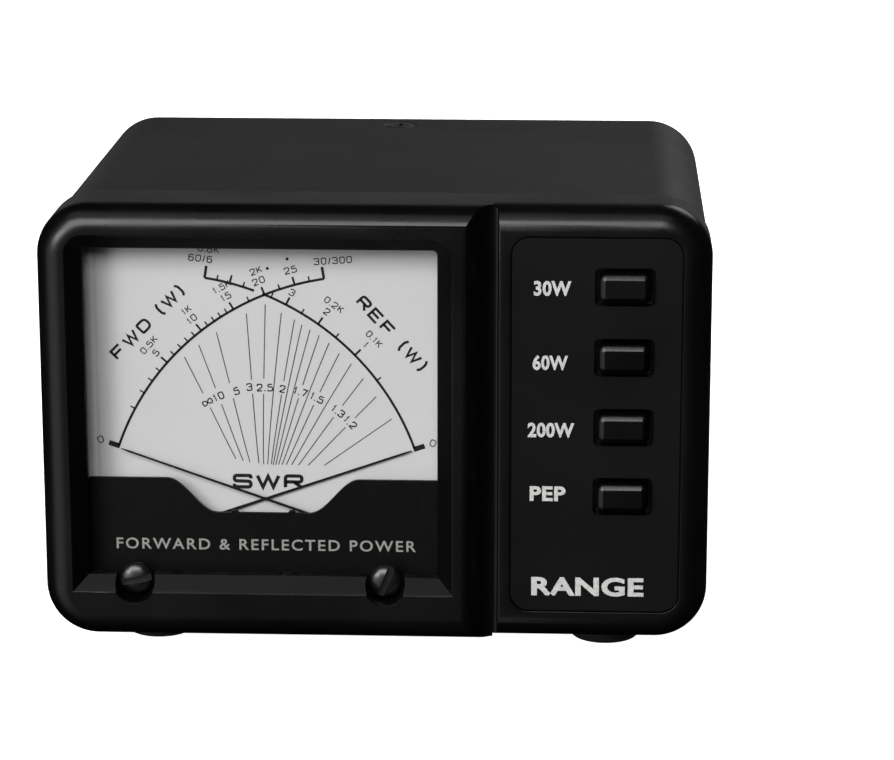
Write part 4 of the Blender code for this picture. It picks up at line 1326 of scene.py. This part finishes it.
def socket_contact(word):
    node = f"{word}_socket_contact"
    low, high = cad(node)
    spot = middle(node)
    y1 = high.y
    profile = [(0, low.y), (0.8, low.y), (0.8, 85), (1.5, 85), (1.5, y1 - 0.25), (1.3, y1), (1.0, y1)]
    profile += [(0.9, y1 - 0.2), (0.9, 95), (0, 95)]
    at = (spot.x, 0, spot.z)
    made = lathe(node + "_split", profile, at, steps=40)
    for turn in (0, math.pi / 2):
        cut(made, turned(box("slit", (-0.12, y1 - 3.5, -3), (0.12, y1 + 1, 3)), turn, at))
    return made


for word in ("tx", "ant"):
    place(socket_shell(word), "housing", "nickel", NICKEL, f"{word}_socket_shell")
    place(socket_contact(word), "housing", "brass", BRASS, f"{word}_socket_contact")
    spot = middle(f"{word}_socket_contact")
    for i, (dx, dz) in enumerate(((-9, -9), (9, -9), (-9, 9), (9, 9))):
        at = (spot.x + dx, PANEL_FACE, spot.z + dz)
        screw = cross_screw(f"{word}_flange_screw_{i}", at, (0, 1, 0), 2.3, 1.3, 0.0)
        place(screw, "housing", "steel", STEEL)


def supply_socket():
    low, high = cad("supply_socket_body")
    spot = middle("supply_socket_body")
    y0, y1 = low.y, high.y
    profile = [(0, y0), (4.0, y0), (4.0, PANEL_FACE + 0.3), (5.4, PANEL_FACE + 0.3)]
    profile += [(5.6, PANEL_FACE + 0.5), (5.6, y1 - 1.0), (5.4, y1 - 0.8), (4.2, y1 - 0.8)]
    profile += [(4.0, y1 - 0.6), (4.0, y1 - 0.15), (3.85, y1), (3.05, y1), (2.9, y1 - 0.15)]
    profile += [(2.9, 85.0), (0, 85.0)]
    at = (spot.x, 0, spot.z)
    made = lathe("supply_socket_round", profile, at)
    flats = []
    for i in range(6):
        flat = box("flat", (-6, PANEL_FACE + 0.2, 5.15), (6, y1 - 0.7, 8))
        flats.append(turned(flat, math.pi / 3 * i, at))
    return cut(made, *flats)


place(supply_socket(), "housing", "case_plastic", CASE, "supply_socket_body")

# Laid out as if on a front face, with X reversed, and then turned round to the back.
back_print = Print("back_print", -PANEL_FACE)
tx_x = middle("tx_socket_contact").x
ant_x = middle("ant_socket_contact").x
socket_z = middle("tx_socket_contact").z
back_print.text("TX", -tx_x, socket_z + 15.6, 3.0, weight=0.16)
back_print.text("ANT", -ant_x, socket_z + 15.6, 3.0, weight=0.16)
supply_z = middle("supply_socket_pin").z
back_print.text("DC 12V", 0.0, supply_z - 9.6, 2.4, weight=0.16)
for x in (-tx_x, -ant_x):
    outline = rounded_rect((x - 14.6, socket_z - 14.4), (x + 14.6, socket_z + 13.2), 2.0, steps=6)
    back_print.strip([*outline, outline[0]], 0.3)
half_turn = Matrix.Rotation(math.pi, 3, "Z")
bmesh.ops.rotate(back_print.bm, matrix=half_turn, verts=back_print.bm.verts)
back_print.done("housing", "cover_paint", PALE_INK)


# Stage, light and camera


def stage():
    """A pale floor that curves up into a wall far away. Only the camera sees it, so that the
    black faces mirror the dark room."""
    bm = bmesh.new()
    angles = [math.tau * i / 96 for i in range(96)]
    rings = []
    for radius, rise in ((8.0, 0.0), (10.0, 0.15), (11.4, 0.9), (12.0, 2.4), (12.0, 9.0)):
        ring = [(radius * math.cos(a), radius * math.sin(a), rise) for a in angles]
        rings.append([bm.verts.new(point) for point in ring])
    bm.faces.new(rings[0])
    skin(bm, rings)
    mesh = bpy.data.meshes.new("floor")
    bm.to_mesh(mesh)
    bm.free()
    floor = link("floor", mesh)
    floor.location.z = CAD_BOUNDS[0].z
    finish = Finish("floor_pale", 0.9, specular=0.0)
    finish.colour(finish.ramp(finish.noise(2.0), [(0.3, 0.84), (0.7, 0.86)]))
    finish.shader.inputs["Emission Color"].default_value = (1, 1, 1, 1)
    finish.shader.inputs["Emission Strength"].default_value = 0.96
    mesh.materials.append(finish.material)
    floor.visible_glossy = False
    floor.visible_diffuse = False
    floor.visible_shadow = False


AIM = Vector((0, 0, 0.03))


def softbox(name, spot, size, power, mirrored_in_case):
    data = bpy.data.lights.new(name, "AREA")
    data.shape = "RECTANGLE"
    data.size, data.size_y = size
    data.energy = power
    light = bpy.data.objects.new(name, data)
    SCENE.collection.objects.link(light)
    light.location = spot
    light.rotation_euler = (AIM - Vector(spot)).to_track_quat("-Z", "Y").to_euler()
    light.visible_glossy = mirrored_in_case


def surroundings():
    """A dark room, which the black faces mirror: a pale wall low on the front left that fades out
    towards the back, and a dimmer one low behind."""
    world = bpy.data.worlds.new("room")
    world.use_nodes = True
    SCENE.world = world
    tree = world.node_tree
    where = tree.nodes.new("ShaderNodeTexCoord")
    levels = []
    wall = ((0.20, 0.004), (0.62, 0.04), (0.74, 0.13), (0.86, 0.5), (0.97, 1.15))
    front = ((0.16, 0.01), (0.50, 1.0))
    behind = ((0.84, 0.0), (0.93, 0.13))
    lobes = (((-0.74, -0.66, -0.13), wall), ((0, -1, 0), front), ((0, 0.97, 0.22), behind))
    for direction, stops in lobes:
        along = tree.nodes.new("ShaderNodeVectorMath")
        along.operation = "DOT_PRODUCT"
        along.inputs[1].default_value = Vector(direction).normalized()
        ramp = tree.nodes.new("ShaderNodeValToRGB")
        fill(ramp.color_ramp, stops)
        tree.links.new(where.outputs["Generated"], along.inputs[0])
        tree.links.new(along.outputs["Value"], ramp.inputs["Fac"])
        levels.append(ramp.outputs["Color"])
    product = tree.nodes.new("ShaderNodeVectorMath")
    product.operation = "MULTIPLY_ADD"
    for level, socket in zip(levels, product.inputs):
        tree.links.new(level, socket)
    tree.links.new(product.outputs["Vector"], tree.nodes["Background"].inputs["Color"])


stage()
surroundings()
# Each one's place, size, watts, and whether the case mirrors it.
softbox("key", (-0.33, -1.08, 0.74), (1.15, 0.58), 20.0, True)
softbox("low", (-0.90, -1.13, 0.33), (0.5, 0.35), 8.0, True)
softbox("high", (-0.25, -0.60, 1.35), (1.6, 0.6), 2.6, True)
softbox("back", (0.7, 1.2, 1.1), (0.8, 0.8), 4.5, True)
softbox("right", (1.25, 0.50, 0.10), (0.8, 0.5), 26.0, False)
softbox("left", (-1.30, 0.75, 0.10), (0.8, 0.5), 10.0, False)
softbox("rear_left", (-0.75, 1.30, 0.12), (0.8, 0.5), 16.0, False)
softbox("rear_right", (0.85, 1.25, 0.12), (0.8, 0.5), 16.0, False)
SCENE.view_settings.view_transform = "Standard"

camera_data = bpy.data.cameras.new("camera")
camera_data.sensor_fit = "HORIZONTAL"
camera_data.sensor_width = 36.0
camera_data.lens = 131.9
camera_data.clip_end = 50.0
camera = bpy.data.objects.new("camera", camera_data)
SCENE.collection.objects.link(camera)
camera.location = (0.03807, -0.6144, 0.1971)
DOWN, LEFT = 0.2485, 0.0443  # how far the camera is turned from the meter's own directions
camera.rotation_euler = (math.pi / 2 - DOWN, 0, LEFT)
SCENE.camera = camera
